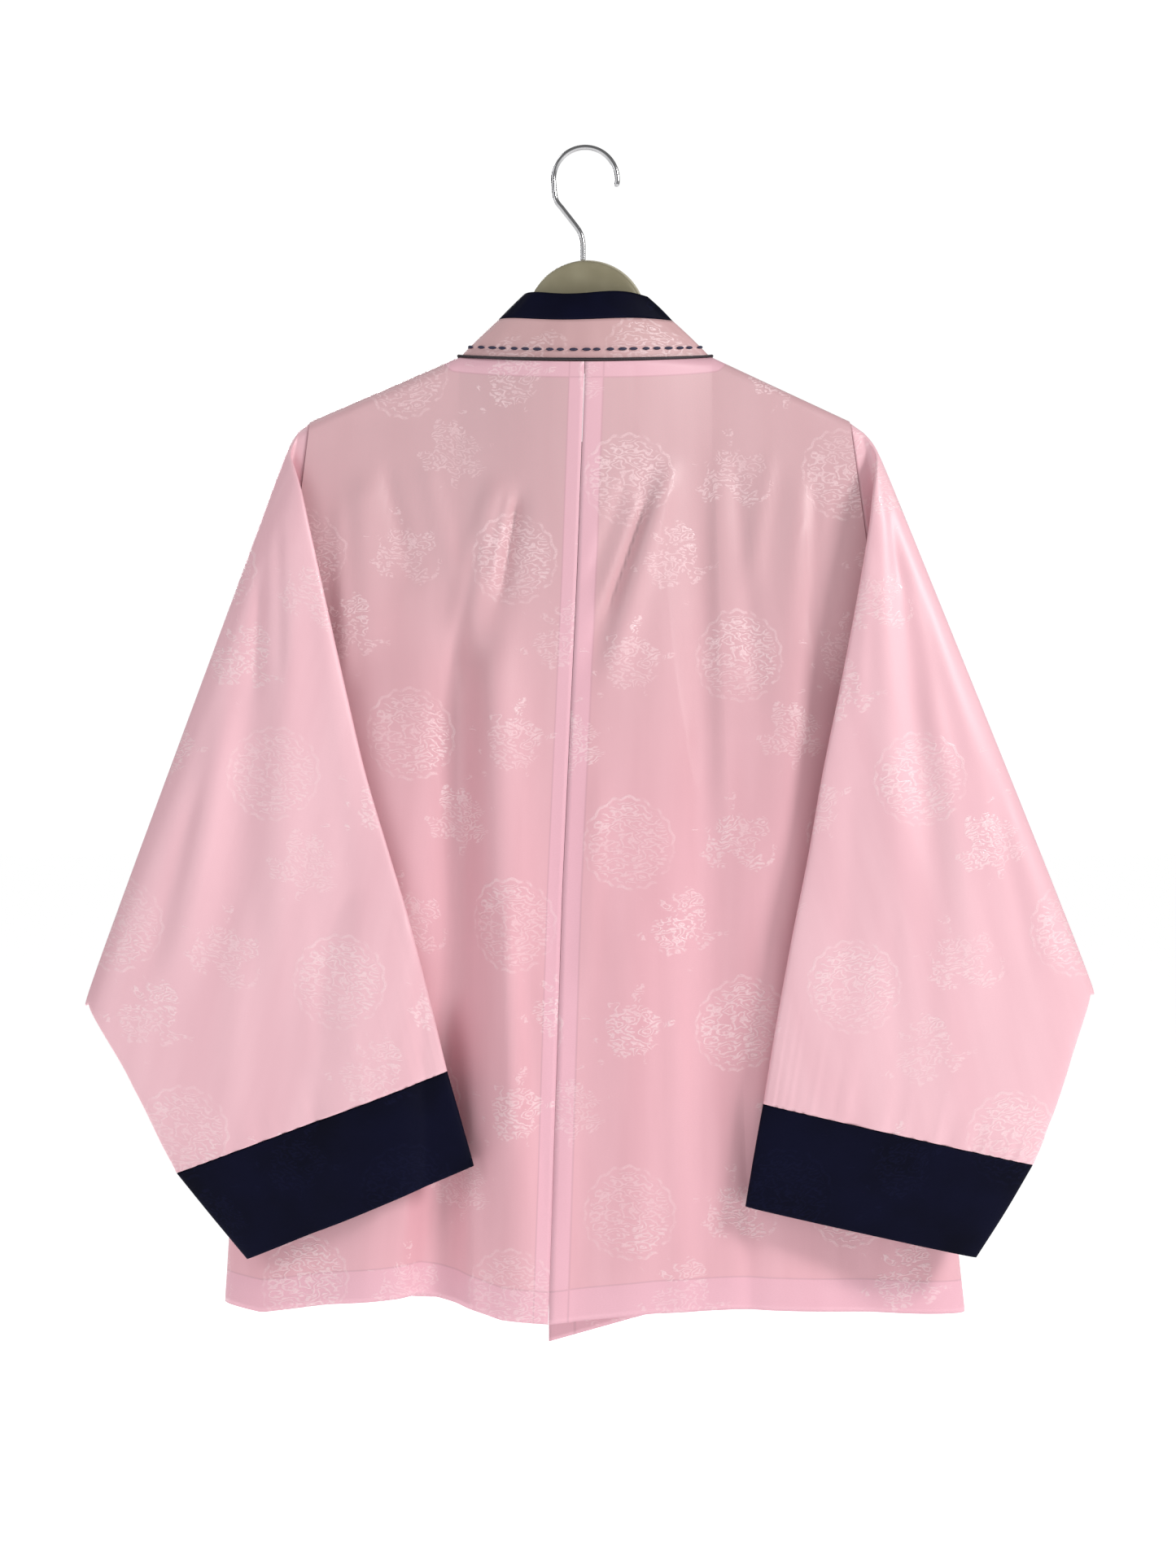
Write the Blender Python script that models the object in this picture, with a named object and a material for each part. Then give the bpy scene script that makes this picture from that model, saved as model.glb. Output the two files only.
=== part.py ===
"""A hanbok jacket on a coat hanger, seen from its back.

The jacket faces +Y, its back faces -Y, and +Z is up. The origin is the point inside the top
of the hanger's hook, where a rail holds it. Each cut piece of cloth is a thin closed wall of
its own: two backs, two fronts, two sleeves, two cuffs, the collar band, its dark edge and its
piping. The hanger inside carries the cloth on its arms.
"""
import math

import bmesh
import bpy
import numpy as np

# Driving dimensions, in metres
CLOTH = 0.0015              # wall of the body panels and the collar
SLEEVE_CLOTH = 0.0018       # wall of the sleeves and the cuffs
SEAM_GAP = 0.0003           # left between two pieces that are sewn together
NECK_HALF_WIDTH = 0.095     # collar seam at the shoulder, from the middle
NECK_Z = -0.157             # top of the shoulder at the collar
BACK_NECK_DROP = 0.0066     # the collar seam dips this far at the middle of the back
TIP_Z = -0.205              # end of the shoulder, above the armhole
UNDERARM_Z = -0.445         # lower end of the armhole
HEM_Z = -0.870              # about the hem's height at the sides
RIDGE_RADIUS = 0.0085       # the cloth turns over the hanger's arm with this radius
NECK_DEPTH = 0.030          # the collar stands this far behind and before the hanger
ARMHOLE_SWELL = 0.009       # more depth at the middle of the armhole
HANG_DEPTH = 0.026          # the cloth ends up this much deeper below the shoulder
HANG_LENGTH = 0.25          # and most of that is reached over this length
FLARE = 0.014               # and for each metre down it gains this depth
STAND_LENGTH = 0.12         # the depth at the neck fades over this length
NECK_ROUND = 0.57           # how blunt the neck's outline is at its two ends
LAP = 0.0055                # the upper front lies this far outside the lower one
COLLAR_WIDTH = 0.054        # collar band and dark edge together
BAND_START = 0.022          # share of that width hidden under the piping
EDGE_SHARE = 0.39           # share of the collar's width that is the dark edge
COLLAR_TOP_HALF = 0.047     # half width of the collar's top
COLLAR_TOP_Z = -0.1100
COLLAR_TOP_DEPTH = 0.018    # the collar's top stands this far behind the hanger
NECKLINE_SLOPE = 1.88       # fall of the front neckline for each unit across
PIPING_RADIUS = 0.0010
WIRE_RADIUS = 0.0020
HOOK_RADIUS = 0.0240        # middle of the wire, in the hook's round part
SLEEVE_REST = 0.0022        # room between a sleeve and the back under it
HANGER_ROOM = 0.0004        # between the hanger and the cloth that it carries
HANGER_TIP = 0.190          # half the hanger's width
HUMP_RADIUS = 0.044         # round middle of the hanger, above the collar
HUMP_HALF_WIDTH = 0.041
HUMP_TOP_Z = -0.0834
HANGER_LOW_Z = -0.168       # underside of the hanger at its middle
HANGER_LOW_FALL = 0.062     # and how far it falls to the tip
NECK_ARM_HALF = 0.0038      # half thickness of the hanger inside the neck
NECK_ARM_DROP = 0.011       # the hanger's arm lies this far below the collar's slope

MM = 0.001

# Side of the body, in millimetres: height, left edge, right edge
SIDE_COLUMNS = ("z", "left", "right")
SIDE = (
    (-205, -206, 198),
    (-445, -233, 229),
    (-650, -256, 260),
    (-870, -270, 284),
)

# Centre back seam, in millimetres: height and how far it lies from the middle
SEAM_COLUMNS = ("z", "x")
BACK_SEAM = (
    (-157, 0),
    (-320, -6),
    (-560, -17),
    (-870, -27),
)

# Hem of the back, in millimetres
HEM_COLUMNS = ("x", "z")
BACK_HEM = (
    (-270, -864),
    (-240, -869),
    (-190, -861),
    (-125, -855),
    (-95, -861),
    (-62, -871),
    (-26, -874),
    (50, -866),
    (110, -864),
    (200, -868),
    (284, -872),
)
LEFT_FRONT_HEM = (
    (-270, -864),
    (-150, -868),
    (45, -874),
)
RIGHT_FRONT_HEM = (
    (-28, -905),
    (57, -881),
    (120, -874),
    (284, -872),
)

# Free vertical edges of the two fronts, from the middle
LEFT_FRONT_EDGE = 0.045
RIGHT_FRONT_EDGE = -0.028

# Folds, in millimetres: where each starts and ends, its half width there, and its height.
# The columns are x0, z0, x1, z1, width0, width1 and height
BACK_FOLDS = (
    (-71, -319, -41, -900, 17, 25, 9),
    (-95, -345, -98, -900, 17, 26, -12),
    (-104, -640, -118, -900, 15, 24, -13),
    (-150, -560, -160, -900, 22, 30, 7),
    (85, -235, 97, -800, 17, 26, -7),
    (163, -235, 145, -560, 13, 22, 5),
    (64, -241, 16, -397, 9, 11, 5),
    (52, -241, 3, -400, 9, 12, -4),
    (-47, -255, -75, -391, 9, 12, -4),
    (-66, -250, -95, -370, 9, 12, 4),
    (-167, -240, -160, -380, 11, 16, 4),
    (30, -560, 44, -900, 22, 30, 5),
    (190, -540, 215, -900, 22, 30, -8),
)
FRONT_FOLDS = (
    (-150, -330, -170, -900, 16, 26, 8),
    (-112, -360, -120, -900, 14, 24, -9),
    (-60, -520, -66, -900, 16, 24, 6),
    (120, -300, 135, -900, 15, 25, 8),
    (160, -350, 185, -900, 14, 24, -9),
    (70, -480, 80, -900, 14, 22, -7),
    (-190, -260, -150, -400, 10, 14, 4),
    (178, -260, 140, -420, 10, 14, 4),
)

# A sleeve's sections, in millimetres. Each is a flat loop from its upper end to its lower
# end. The sleeve leaves the armhole outwards, folds over along its outer line and hangs
# down over the back, so the loop is turned round by half a turn on its way.
# The columns are x_up, z_up, y_up, x_low, z_low, y_low, half depth and turn in degrees
LEFT_SLEEVE = (
    (-211, -208, 0, -244, -453, 0, 15, 0),
    (-216, -213, -3, -274, -496, -3, 11, 14),
    (-219, -221, -9, -322, -562, -10, 8, 42),
    (-219, -231, -17, -369, -636, -20, 6, 90),
    (-215, -242, -25, -364, -646, -30, 6.5, 135),
    (-210, -260, -31, -352, -664, -35, 7.5, 165),
    (-203, -290, -34, -342, -684, -37, 8.5, 180),
    (-191, -343, -37, -333, -701, -38, 9, 180),
    (-177, -405, -39, -325, -716, -39, 9, 180),
    (-162, -468, -41, -318, -730, -40, 9, 180),
    (-145, -525, -43, -312, -742, -41, 9, 180),
    (-130, -575, -44, -307, -751, -42, 9, 180),
    (-115, -632, -45, -303, -758, -43, 9, 180),
    (-101.4, -687.6, -46, -300.6, -762.6, -44, 9, 180),
)
LEFT_CUFF = (
    (-101.3, -688, -46, -300.3, -763, -44, 9, 180),
    (-91.5, -722, -47, -275, -794, -45, 9, 180),
    (-81.6, -756.6, -48, -248.4, -825.6, -46, 9, 180),
)
RIGHT_SLEEVE = (
    (203, -208, 0, 240, -453, 0, 15, 0),
    (209, -213, -3, 268, -496, -3, 11, 14),
    (214, -221, -9, 322, -560, -10, 8, 42),
    (216, -231, -17, 375, -628, -20, 6, 90),
    (215, -243, -25, 371, -640, -30, 6.5, 135),
    (213, -262, -31, 366, -656, -35, 7.5, 165),
    (209, -292, -34, 361, -672, -37, 8.5, 180),
    (200, -343, -37, 356, -688, -38, 9, 180),
    (188, -405, -39, 351, -703, -39, 9, 180),
    (175, -468, -41, 346, -717, -40, 9, 180),
    (164, -530, -43, 341, -729, -41, 9, 180),
    (152, -590, -44, 337, -740, -42, 9, 180),
    (141, -650, -45, 333, -749, -43, 9, 180),
    (130.8, -711.6, -46, 329.4, -756.6, -44, 9, 180),
)
RIGHT_CUFF = (
    (130.7, -712, -46, 329.1, -757, -44, 9, 180),
    (124, -749, -47, 309, -791, -45, 9, 180),
    (117.6, -786.6, -48, 287.4, -824.4, -46, 9, 180),
)
LEFT_SLEEVE_FOLDS = (
    (-235, -300, -262, -600, 8, 20, -5),
    (-215, -330, -225, -640, 9, 18, 3),
    (-262, -420, -300, -620, 8, 14, 3),
)
RIGHT_SLEEVE_FOLDS = (
    (228, -280, 262, -560, 7, 18, -5),
    (215, -300, 235, -640, 8, 20, 3),
    (250, -400, 290, -640, 8, 16, 3),
)

# The wire from the hanger up to the round part of the hook, x and z in millimetres
WIRE = (
    (-1.8, -82.8),
    (-1.8, -76),
    (-2.0, -69),
    (-4.2, -61.5),
    (-9.5, -54),
    (-16.5, -45),
    (-22.2, -37.5),
    (-24.4, -31),
)
HOOK_START, HOOK_END, HOOK_STEPS = 192.0, -14.0, 20

# Grids
RIDGE_STEPS = 3
PANEL_ROWS = 17
NECK_COLUMNS = 8
SHOULDER_COLUMNS = 9
RING_POINTS = 24
PIPING_SIDES = 6
WIRE_SIDES = 8
HANGER_RING = 12

PINK = (0.83, 0.50, 0.56, 1)
NAVY = (0.012, 0.014, 0.04, 1)
SHELL_GREY = (0.50, 0.47, 0.36, 1)
CHROME = (0.78, 0.78, 0.78, 1)


def read_table(rows, columns, value, key=0):
    """The value column at the height or width key, straight between the rows."""
    keys = [row[key] for row in rows]
    values = [row[columns.index(value)] for row in rows]
    order = np.argsort(keys)
    return np.array(keys)[order] * MM, np.array(values)[order] * MM


def side_x(z, side):
    keys, values = read_table(SIDE, SIDE_COLUMNS, "left" if side < 0 else "right")
    return np.interp(z, keys, values)


def seam_x(z):
    keys, values = read_table(BACK_SEAM, SEAM_COLUMNS, "x")
    return np.interp(z, keys, values)


def hem_z(x, rows):
    keys, values = read_table(rows, HEM_COLUMNS, "z")
    return np.interp(x, keys, values)


def tip_x(side):
    return side_x(TIP_Z, side)


def smooth(value):
    value = np.clip(value, 0.0, 1.0)
    return value * value * (3.0 - 2.0 * value)


def ridge_z(x):
    """Height of the shoulder: level across the neck, then falling to the tip."""
    out = np.abs(x) - NECK_HALF_WIDTH
    run = np.where(x < 0, -tip_x(-1), tip_x(1)) - NECK_HALF_WIDTH
    return NECK_Z + (TIP_Z - NECK_Z) * np.clip(out / run, 0.0, 1.2)


def fold_height(x, z, folds):
    """All folds at a point: each is a soft ridge or trough along its own line."""
    total = np.zeros(np.broadcast(x, z).shape)
    for fold in folds:
        x0, z0, x1, z1, width0, width1, height = (value * MM for value in fold)
        run = math.hypot(x1 - x0, z1 - z0)
        along = ((x - x0) * (x1 - x0) + (z - z0) * (z1 - z0)) / run ** 2
        across = ((x - x0) * (z1 - z0) - (z - z0) * (x1 - x0)) / run
        width = width0 + (width1 - width0) * np.clip(along, 0.0, 1.0)
        fade = smooth(along / 0.25 + 0.3) * smooth((1.0 - along) / 0.3 + 0.3)
        total = total + height * fade * np.exp(-(across / width) ** 2)
    return total


def armhole_depth(z):
    """Half the depth of the armhole, which closes at the underarm."""
    down = np.clip((TIP_Z - z) / (TIP_Z - UNDERARM_Z), 0.0, 1.0)
    swell = RIDGE_RADIUS + ARMHOLE_SWELL * np.sin(math.pi * down)
    return swell * np.sqrt(1.0 - down ** 6)


def body_y(x, z, face):
    """Outer face of the body: face -1 is the back, face +1 the front."""
    x, z = np.broadcast_arrays(np.asarray(x, float), np.asarray(z, float))
    middle = seam_x(z) if face < 0 else 0.0
    side = np.where(x < middle, side_x(z, -1), side_x(z, 1))
    share = np.clip(np.abs((x - middle) / (side - middle)), 0.0, 1.0)
    below = np.maximum(ridge_z(x) - z, 0.0)
    neck = np.clip(1.0 - (x / NECK_HALF_WIDTH) ** 2, 0.0, 1.0) ** NECK_ROUND
    turn = 1.0 - np.minimum(below / RIDGE_RADIUS, 1.0)
    ridge = np.sqrt(np.clip(1.0 - turn ** 2 * (1.0 - neck ** 2), 0.0, 1.0))
    hang = HANG_DEPTH * (1.0 - np.exp(-below / HANG_LENGTH)) + FLARE * below
    stand = (NECK_DEPTH - RIDGE_RADIUS) * neck ** 2 * np.exp(-below / STAND_LENGTH)
    edge = np.where(z > UNDERARM_Z, armhole_depth(z), 0.0)
    flat = 0.35 + 0.85 * smooth((z - UNDERARM_Z) / 0.08)
    across = (1.0 - share ** 2) ** flat
    depth = edge + (RIDGE_RADIUS + hang + stand - edge) * across
    folds = fold_height(x, z, BACK_FOLDS if face < 0 else FRONT_FOLDS)
    calm = smooth((below - 0.030) / 0.050) * smooth((1.0 - share) / 0.25)
    return face * (SEAM_GAP / 2 + ridge * depth + folds * calm)


def make_material(name, colour, roughness, metallic=0.0):
    material = bpy.data.materials.new(name)
    material.use_nodes = True
    shader = material.node_tree.nodes["Principled BSDF"]
    shader.inputs["Base Color"].default_value = colour
    shader.inputs["Roughness"].default_value = roughness
    shader.inputs["Metallic"].default_value = metallic
    return material


def add_mesh(name, points, faces, material):
    mesh = bpy.data.meshes.new(name)
    mesh.from_pydata([tuple(point) for point in points], [], faces)
    build = bmesh.new()
    build.from_mesh(mesh)
    bmesh.ops.remove_doubles(build, verts=build.verts, dist=0.00001)
    bmesh.ops.recalc_face_normals(build, faces=build.faces)
    build.to_mesh(mesh)
    build.free()
    mesh.shade_smooth()
    mesh.set_sharp_from_angle(angle=math.radians(50))
    mesh.materials.append(material)
    thing = bpy.data.objects.new(name, mesh)
    bpy.context.scene.collection.objects.link(thing)
    return thing


def both_faces(a, b, c, d, back):
    """Two triangles of the outer face and the same two of the inner face, turned over.
    Both faces are split along one diagonal, so that the wall keeps its thickness."""
    front = [(a, b, c), (a, c, d)]
    return front + [tuple(back + corner for corner in reversed(three)) for three in front]


def close_sheet(outer, inner):
    """Faces of a closed wall between two grids of the same rows and columns."""
    rows, columns = outer.shape[:2]
    points = np.concatenate([outer.reshape(-1, 3), inner.reshape(-1, 3)])
    back = rows * columns
    faces = []
    for row in range(rows - 1):
        for column in range(columns - 1):
            a = row * columns + column
            faces += both_faces(a, a + 1, a + columns + 1, a + columns, back)
    rim = [column for column in range(columns)]
    rim += [row * columns + columns - 1 for row in range(1, rows)]
    rim += [(rows - 1) * columns + column for column in range(columns - 2, -1, -1)]
    rim += [row * columns for row in range(rows - 2, 0, -1)]
    for first, second in zip(rim, rim[1:] + rim[:1]):
        faces.append((first, back + first, back + second, second))
    return points, faces


def close_tube(outer, inner):
    """Faces of a tube's wall between two stacks of closed rings."""
    rows, columns = outer.shape[:2]
    points = np.concatenate([outer.reshape(-1, 3), inner.reshape(-1, 3)])
    back = rows * columns
    faces = []
    for column in range(columns):
        after = (column + 1) % columns
        for row in range(rows - 1):
            a, b = row * columns + column, row * columns + after
            faces += both_faces(a, b, b + columns, a + columns, back)
        for row in (0, rows - 1):
            a, b = row * columns + column, row * columns + after
            faces.append((a, back + a, back + b, b))
    return points, faces


def close_rod(rings):
    """Faces of a solid rod through closed rings, with flat ends."""
    rows, columns = rings.shape[:2]
    faces = [tuple(range(columns)), tuple((rows - 1) * columns + i for i in range(columns))]
    for row in range(rows - 1):
        for column in range(columns):
            a = row * columns + column
            b = row * columns + (column + 1) % columns
            faces.append((a, b, b + columns, a + columns))
    return rings.reshape(-1, 3), faces


def wall(place, rows, columns, thickness, outward):
    """Outer and inner grids of a sheet. place gives the outer point of a row and column
    share, and the inner point lies one thickness behind it, square to the sheet. outward
    tells roughly which way the outer face looks."""
    step = 1e-4
    row_grid, column_grid = np.meshgrid(rows, columns, indexing="ij")
    low_row, high_row = np.clip(row_grid - step, 0, 1), np.clip(row_grid + step, 0, 1)
    low_col = np.clip(column_grid - step, columns[0], columns[-1])
    high_col = np.clip(column_grid + step, columns[0], columns[-1])
    outer = place(row_grid, column_grid)
    down = place(high_row, column_grid) - place(low_row, column_grid)
    along = place(row_grid, high_col) - place(row_grid, low_col)
    normal = np.cross(down, along)
    normal /= np.linalg.norm(normal, axis=2, keepdims=True)
    turned = np.sign(np.sum(normal * outward(outer)))
    return outer, outer - normal * turned * thickness


def away(points):
    """Backwards on the back of the jacket and forwards on its front."""
    return points * np.array([0.0, 1.0, 0.0])


def panel(name, face, inner_edge, top_z, hem_rows, side, material, lift=None):
    """One back or front. Its columns run from inner_edge out to the side, and its rows
    from the top edge over the ridge's round part and down to the hem."""
    tip = tip_x(side)
    neck = side * NECK_HALF_WIDTH
    start = inner_edge(TIP_Z)
    neck_share = (neck - start) / (tip - start)
    near = neck_share * (1.0 - np.linspace(1.0, 0.0, NECK_COLUMNS + 1) ** 1.35)
    turn = np.linspace(0.0, math.pi / 2, SHOULDER_COLUMNS + 1)[1:]
    columns = np.concatenate([near, neck_share + (1.0 - neck_share) * np.sin(turn)])
    ridge_rows = np.linspace(0.0, 0.1, RIDGE_STEPS + 1)
    rows = np.concatenate([ridge_rows, np.linspace(0.1, 1.0, PANEL_ROWS + 1)[1:]])

    def across(z, column):
        return inner_edge(z) + column * (side_x(z, side) - inner_edge(z))

    def place(row, column):
        high = TIP_Z
        for _ in range(4):
            high = top_z(across(high, column))
        angle = np.minimum(row / 0.1, 1.0) * math.pi / 2
        rolled = RIDGE_RADIUS * (1.0 - np.cos(angle))
        low = hem_z(across(HEM_Z, column), hem_rows)
        share = np.clip((row - 0.1) / 0.9, 0.0, 1.0)
        z = high - rolled - share * (high - RIDGE_RADIUS - low)
        x = across(z, column)
        y = body_y(x, z, face)
        if lift is not None:
            y = y + lift(x)
        return np.stack([x, y, z], axis=-1)

    outer, inner = wall(place, rows, columns, CLOTH, away)
    return add_mesh(name, *close_sheet(outer, inner), material)


def back_top(x):
    neck = np.clip(1.0 - (x / NECK_HALF_WIDTH) ** 2, 0.0, 1.0)
    return ridge_z(x) - BACK_NECK_DROP * neck


def front_top(side):
    def top(x):
        inside = np.maximum(NECK_HALF_WIDTH - side * x, 0.0)
        return ridge_z(np.where(side * x > 0, x, 0.0)) - NECKLINE_SLOPE * inside
    return top


def lap_lift(x):
    """The left front rises over the right one before it reaches it."""
    return LAP * smooth((x + 0.085) / 0.045)


def make_body(material):
    gap = SEAM_GAP / 2
    panel("back_left", -1, lambda z: seam_x(z) - gap, back_top, BACK_HEM, -1, material)
    panel("back_right", -1, lambda z: seam_x(z) + gap, back_top, BACK_HEM, 1, material)
    left_edge = lambda z: LEFT_FRONT_EDGE + 0.0 * np.asarray(z)
    right_edge = lambda z: RIGHT_FRONT_EDGE + 0.0 * np.asarray(z)
    panel("front_left", 1, left_edge, front_top(-1), LEFT_FRONT_HEM, -1, material, lap_lift)
    panel("front_right", 1, right_edge, front_top(1), RIGHT_FRONT_HEM, 1, material)


def ring_shape():
    """Along and across shares of a flat loop with round ends."""
    angle = 2.0 * math.pi * np.arange(RING_POINTS) / RING_POINTS
    across = np.sign(np.sin(angle)) * np.abs(np.sin(angle)) ** 0.55
    across[np.abs(np.sin(angle)) < 1e-9] = 0.0
    return np.cos(angle), across


def armhole_ring(side, inset):
    """The sleeve's first loop follows the armhole from the shoulder to the underarm."""
    along, across = ring_shape()
    top = TIP_Z - inset - 0.0004
    low = UNDERARM_Z + inset + 0.0030
    z = top + (low - top) * (1.0 - along) / 2
    depth = armhole_depth(np.minimum(z, TIP_Z)) - inset
    below = np.clip((TIP_Z - inset - z) / (RIDGE_RADIUS - inset), 0.0, 1.0)
    ridge = np.sqrt(1.0 - (1.0 - below) ** 2)
    y = np.sign(across) * np.maximum(depth * ridge, 0.0)
    x = side_x(z, side) + side * SEAM_GAP
    return np.stack([x, y, z], axis=-1)


def clear_of_back(x, z, half):
    """The highest y at which a sleeve of this half depth still clears the back."""
    inside = (x > side_x(z, -1) - 0.004) & (x < side_x(z, 1) + 0.004)
    surface = np.full(np.shape(x), 1.0)
    for across in (-0.014, -0.007, 0.0, 0.007, 0.014):
        for up in (-0.020, 0.0, 0.020):
            here = body_y(x + across, np.minimum(z + up, TIP_Z), -1)
            surface = np.minimum(surface, here)
    return np.where(inside & (z < TIP_Z), surface - half - SLEEVE_REST, 1.0)


def section_ring(section, side, folds, inset):
    x_up, z_up, y_up, x_low, z_low, y_low, half = (value * MM for value in section[:7])
    turn = math.radians(section[7])
    along, across = ring_shape()
    length = math.hypot(x_low - x_up, z_low - z_up) / 2
    share = 0.5 - 0.5 * along * (length - inset) / length
    x = x_up + (x_low - x_up) * share
    z = z_up + (z_low - z_up) * share
    y = y_up + (y_low - y_up) * share
    depth = half * np.abs(across)
    if turn > 2.0:
        y = np.minimum(y, clear_of_back(x, z, np.maximum(depth, 0.6 * half)))
    offset = across * (half - inset)
    crease = fold_height(x, z, folds) * (turn > 2.0) * np.where(across > 0, 1.0, 0.0)
    offset = offset + crease * np.abs(across)
    x = x + side * math.sin(turn) * offset
    y = y + math.cos(turn) * offset
    return np.stack([x, y, z], axis=-1)


def make_sleeve(name, cuff_name, side, sections, cuff, folds, cloth, dark):
    stacks = []
    for inset in (0.0, SLEEVE_CLOTH):
        rings = [armhole_ring(side, inset)]
        rings += [section_ring(section, side, folds, inset) for section in sections]
        stacks.append(np.array(rings))
    add_mesh(name, *close_tube(*stacks), cloth)
    stacks = []
    for inset in (0.0, SLEEVE_CLOTH):
        stacks.append(np.array([section_ring(row, side, folds, inset) for row in cuff]))
    add_mesh(cuff_name, *close_tube(*stacks), dark)


def collar_back(turn):
    """Seam and top edge behind the neck, for a turn of -1 to 1 from left to right."""
    angle = turn * math.pi / 2
    x = NECK_HALF_WIDTH * np.sin(angle)
    z = back_top(x)
    seam = np.stack([x, body_y(x, z, -1), z + SEAM_GAP], axis=-1)
    top_x = COLLAR_TOP_HALF * np.sin(angle)
    top_y = -COLLAR_TOP_DEPTH * np.cos(angle) ** 0.7
    return seam, np.stack([top_x, top_y, COLLAR_TOP_Z + 0.0 * x], axis=-1)


def collar_front(share, side):
    """Seam and free edge down one front, from the shoulder to the front's own edge."""
    run = math.hypot(1.0, NECKLINE_SLOPE)
    along = np.array([-side / run, -NECKLINE_SLOPE / run])
    toward_neck = np.array([-side * NECKLINE_SLOPE / run, 1.0 / run])
    edge_x = LEFT_FRONT_EDGE if side < 0 else RIGHT_FRONT_EDGE
    lift = lap_lift if side < 0 else (lambda x: 0.0 * x)
    seam_start = np.array([side * NECK_HALF_WIDTH, NECK_Z]) + toward_neck * SEAM_GAP
    free_start = seam_start + toward_neck * COLLAR_WIDTH
    lines = []
    for start in (seam_start, free_start):
        length = (edge_x - start[0]) / along[0]
        x = start[0] + along[0] * length * share
        z = start[1] + along[1] * length * share
        y = body_y(x, np.minimum(z, NECK_Z - RIDGE_RADIUS), 1)
        lines.append(np.stack([x, y + lift(x), z], axis=-1))
    seam, free = lines
    on_seam = body_y(seam[..., 0], seam[..., 2], 1) + lift(seam[..., 0])
    seam[..., 1] = on_seam
    shoulder = np.array([side * COLLAR_TOP_HALF, 0.0, COLLAR_TOP_Z])
    leave = smooth(share / 0.30)
    forward = np.sin(np.minimum(share / 0.12, 1.0) * math.pi / 2)
    leave = np.stack([leave, forward, leave], axis=-1)
    free = shoulder + (free - shoulder) * leave
    return seam, free


def collar_lines(around):
    """Seam and free edge for a position of -2 to 2: left front, back, right front."""
    around = np.asarray(around, float)
    behind = np.clip(around, -1.0, 1.0)
    seam, free = collar_back(behind)
    for side in (-1, 1):
        share = np.clip(side * around - 1.0, 0.0, 1.0)
        front_seam, front_free = collar_front(share, side)
        on_front = (side * around > 1.0)[..., None]
        seam = np.where(on_front, front_seam, seam)
        free = np.where(on_front, front_free, free)
    return seam, free


def collar_columns():
    back = np.linspace(-1.0, 1.0, 17)
    front = np.linspace(0.0, 1.0, 15)[1:] ** 1.15
    return np.concatenate([-1.0 - front[::-1], back, 1.0 + front])


def collar_strip(name, low, high, rows, material):
    """A strip of the collar between two shares of its width, from seam to free edge."""
    def place(row, column):
        seam, free = collar_lines(column)
        share = (low + (high - low) * row)[..., None]
        return seam + (free - seam) * share

    columns = collar_columns()
    outer, inner = wall(place, np.linspace(0.0, 1.0, rows), columns, CLOTH, away)
    return add_mesh(name, *close_sheet(outer, inner), material)


def round_rod(path, radius, sides):
    """Rings of a round rod along a smooth path, square to it and without twist."""
    path = np.asarray(path, float)
    ahead = np.gradient(path, axis=0)
    ahead /= np.linalg.norm(ahead, axis=1, keepdims=True)
    across = np.cross(ahead[0], (0.3, 1.0, 0.2))
    rings = []
    angle = 2.0 * math.pi * np.arange(sides) / sides
    for point, forward in zip(path, ahead):
        across = across - forward * np.dot(across, forward)
        across /= np.linalg.norm(across)
        up = np.cross(forward, across)
        rings.append(point + radius * (np.cos(angle)[:, None] * across
                                       + np.sin(angle)[:, None] * up))
    return np.array(rings)


def make_collar(cloth, dark):
    band = 1.0 - EDGE_SHARE
    gap = SEAM_GAP / COLLAR_WIDTH
    collar_strip("collar_band", BAND_START, band, 4, cloth)
    collar_strip("collar_edge", band + gap, 1.0, 3, dark)
    columns = collar_columns()
    seam, free = collar_lines(columns)
    inward = free - seam
    inward /= np.linalg.norm(inward, axis=1, keepdims=True)
    ahead = np.gradient(seam, axis=0)
    out = np.cross(ahead, inward)
    out /= np.linalg.norm(out, axis=1, keepdims=True)
    path = seam + out * (PIPING_RADIUS + 2 * SEAM_GAP) + inward * PIPING_RADIUS
    rings = round_rod(path, PIPING_RADIUS, PIPING_SIDES)
    add_mesh("collar_piping", *close_rod(rings), dark)


def hanger_top(x):
    """Top of the hanger: a round hump in the middle, then the arms under the cloth."""
    size = np.abs(x)
    hump = HUMP_TOP_Z - HUMP_RADIUS + np.sqrt(np.maximum(HUMP_RADIUS ** 2 - size ** 2, 0.0))
    fall = (NECK_Z - COLLAR_TOP_Z) / (NECK_HALF_WIDTH - COLLAR_TOP_HALF)
    arm = COLLAR_TOP_Z + fall * (size - COLLAR_TOP_HALF) - NECK_ARM_DROP
    inner = ridge_z(x) - CLOTH - HANGER_ROOM
    under_cloth = np.where(size > NECK_HALF_WIDTH, inner, arm)
    return np.where(size < HUMP_HALF_WIDTH, hump, under_cloth)


def hanger_low(x):
    return HANGER_LOW_Z - HANGER_LOW_FALL * (np.abs(x) / HANGER_TIP) ** 1.15


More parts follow.
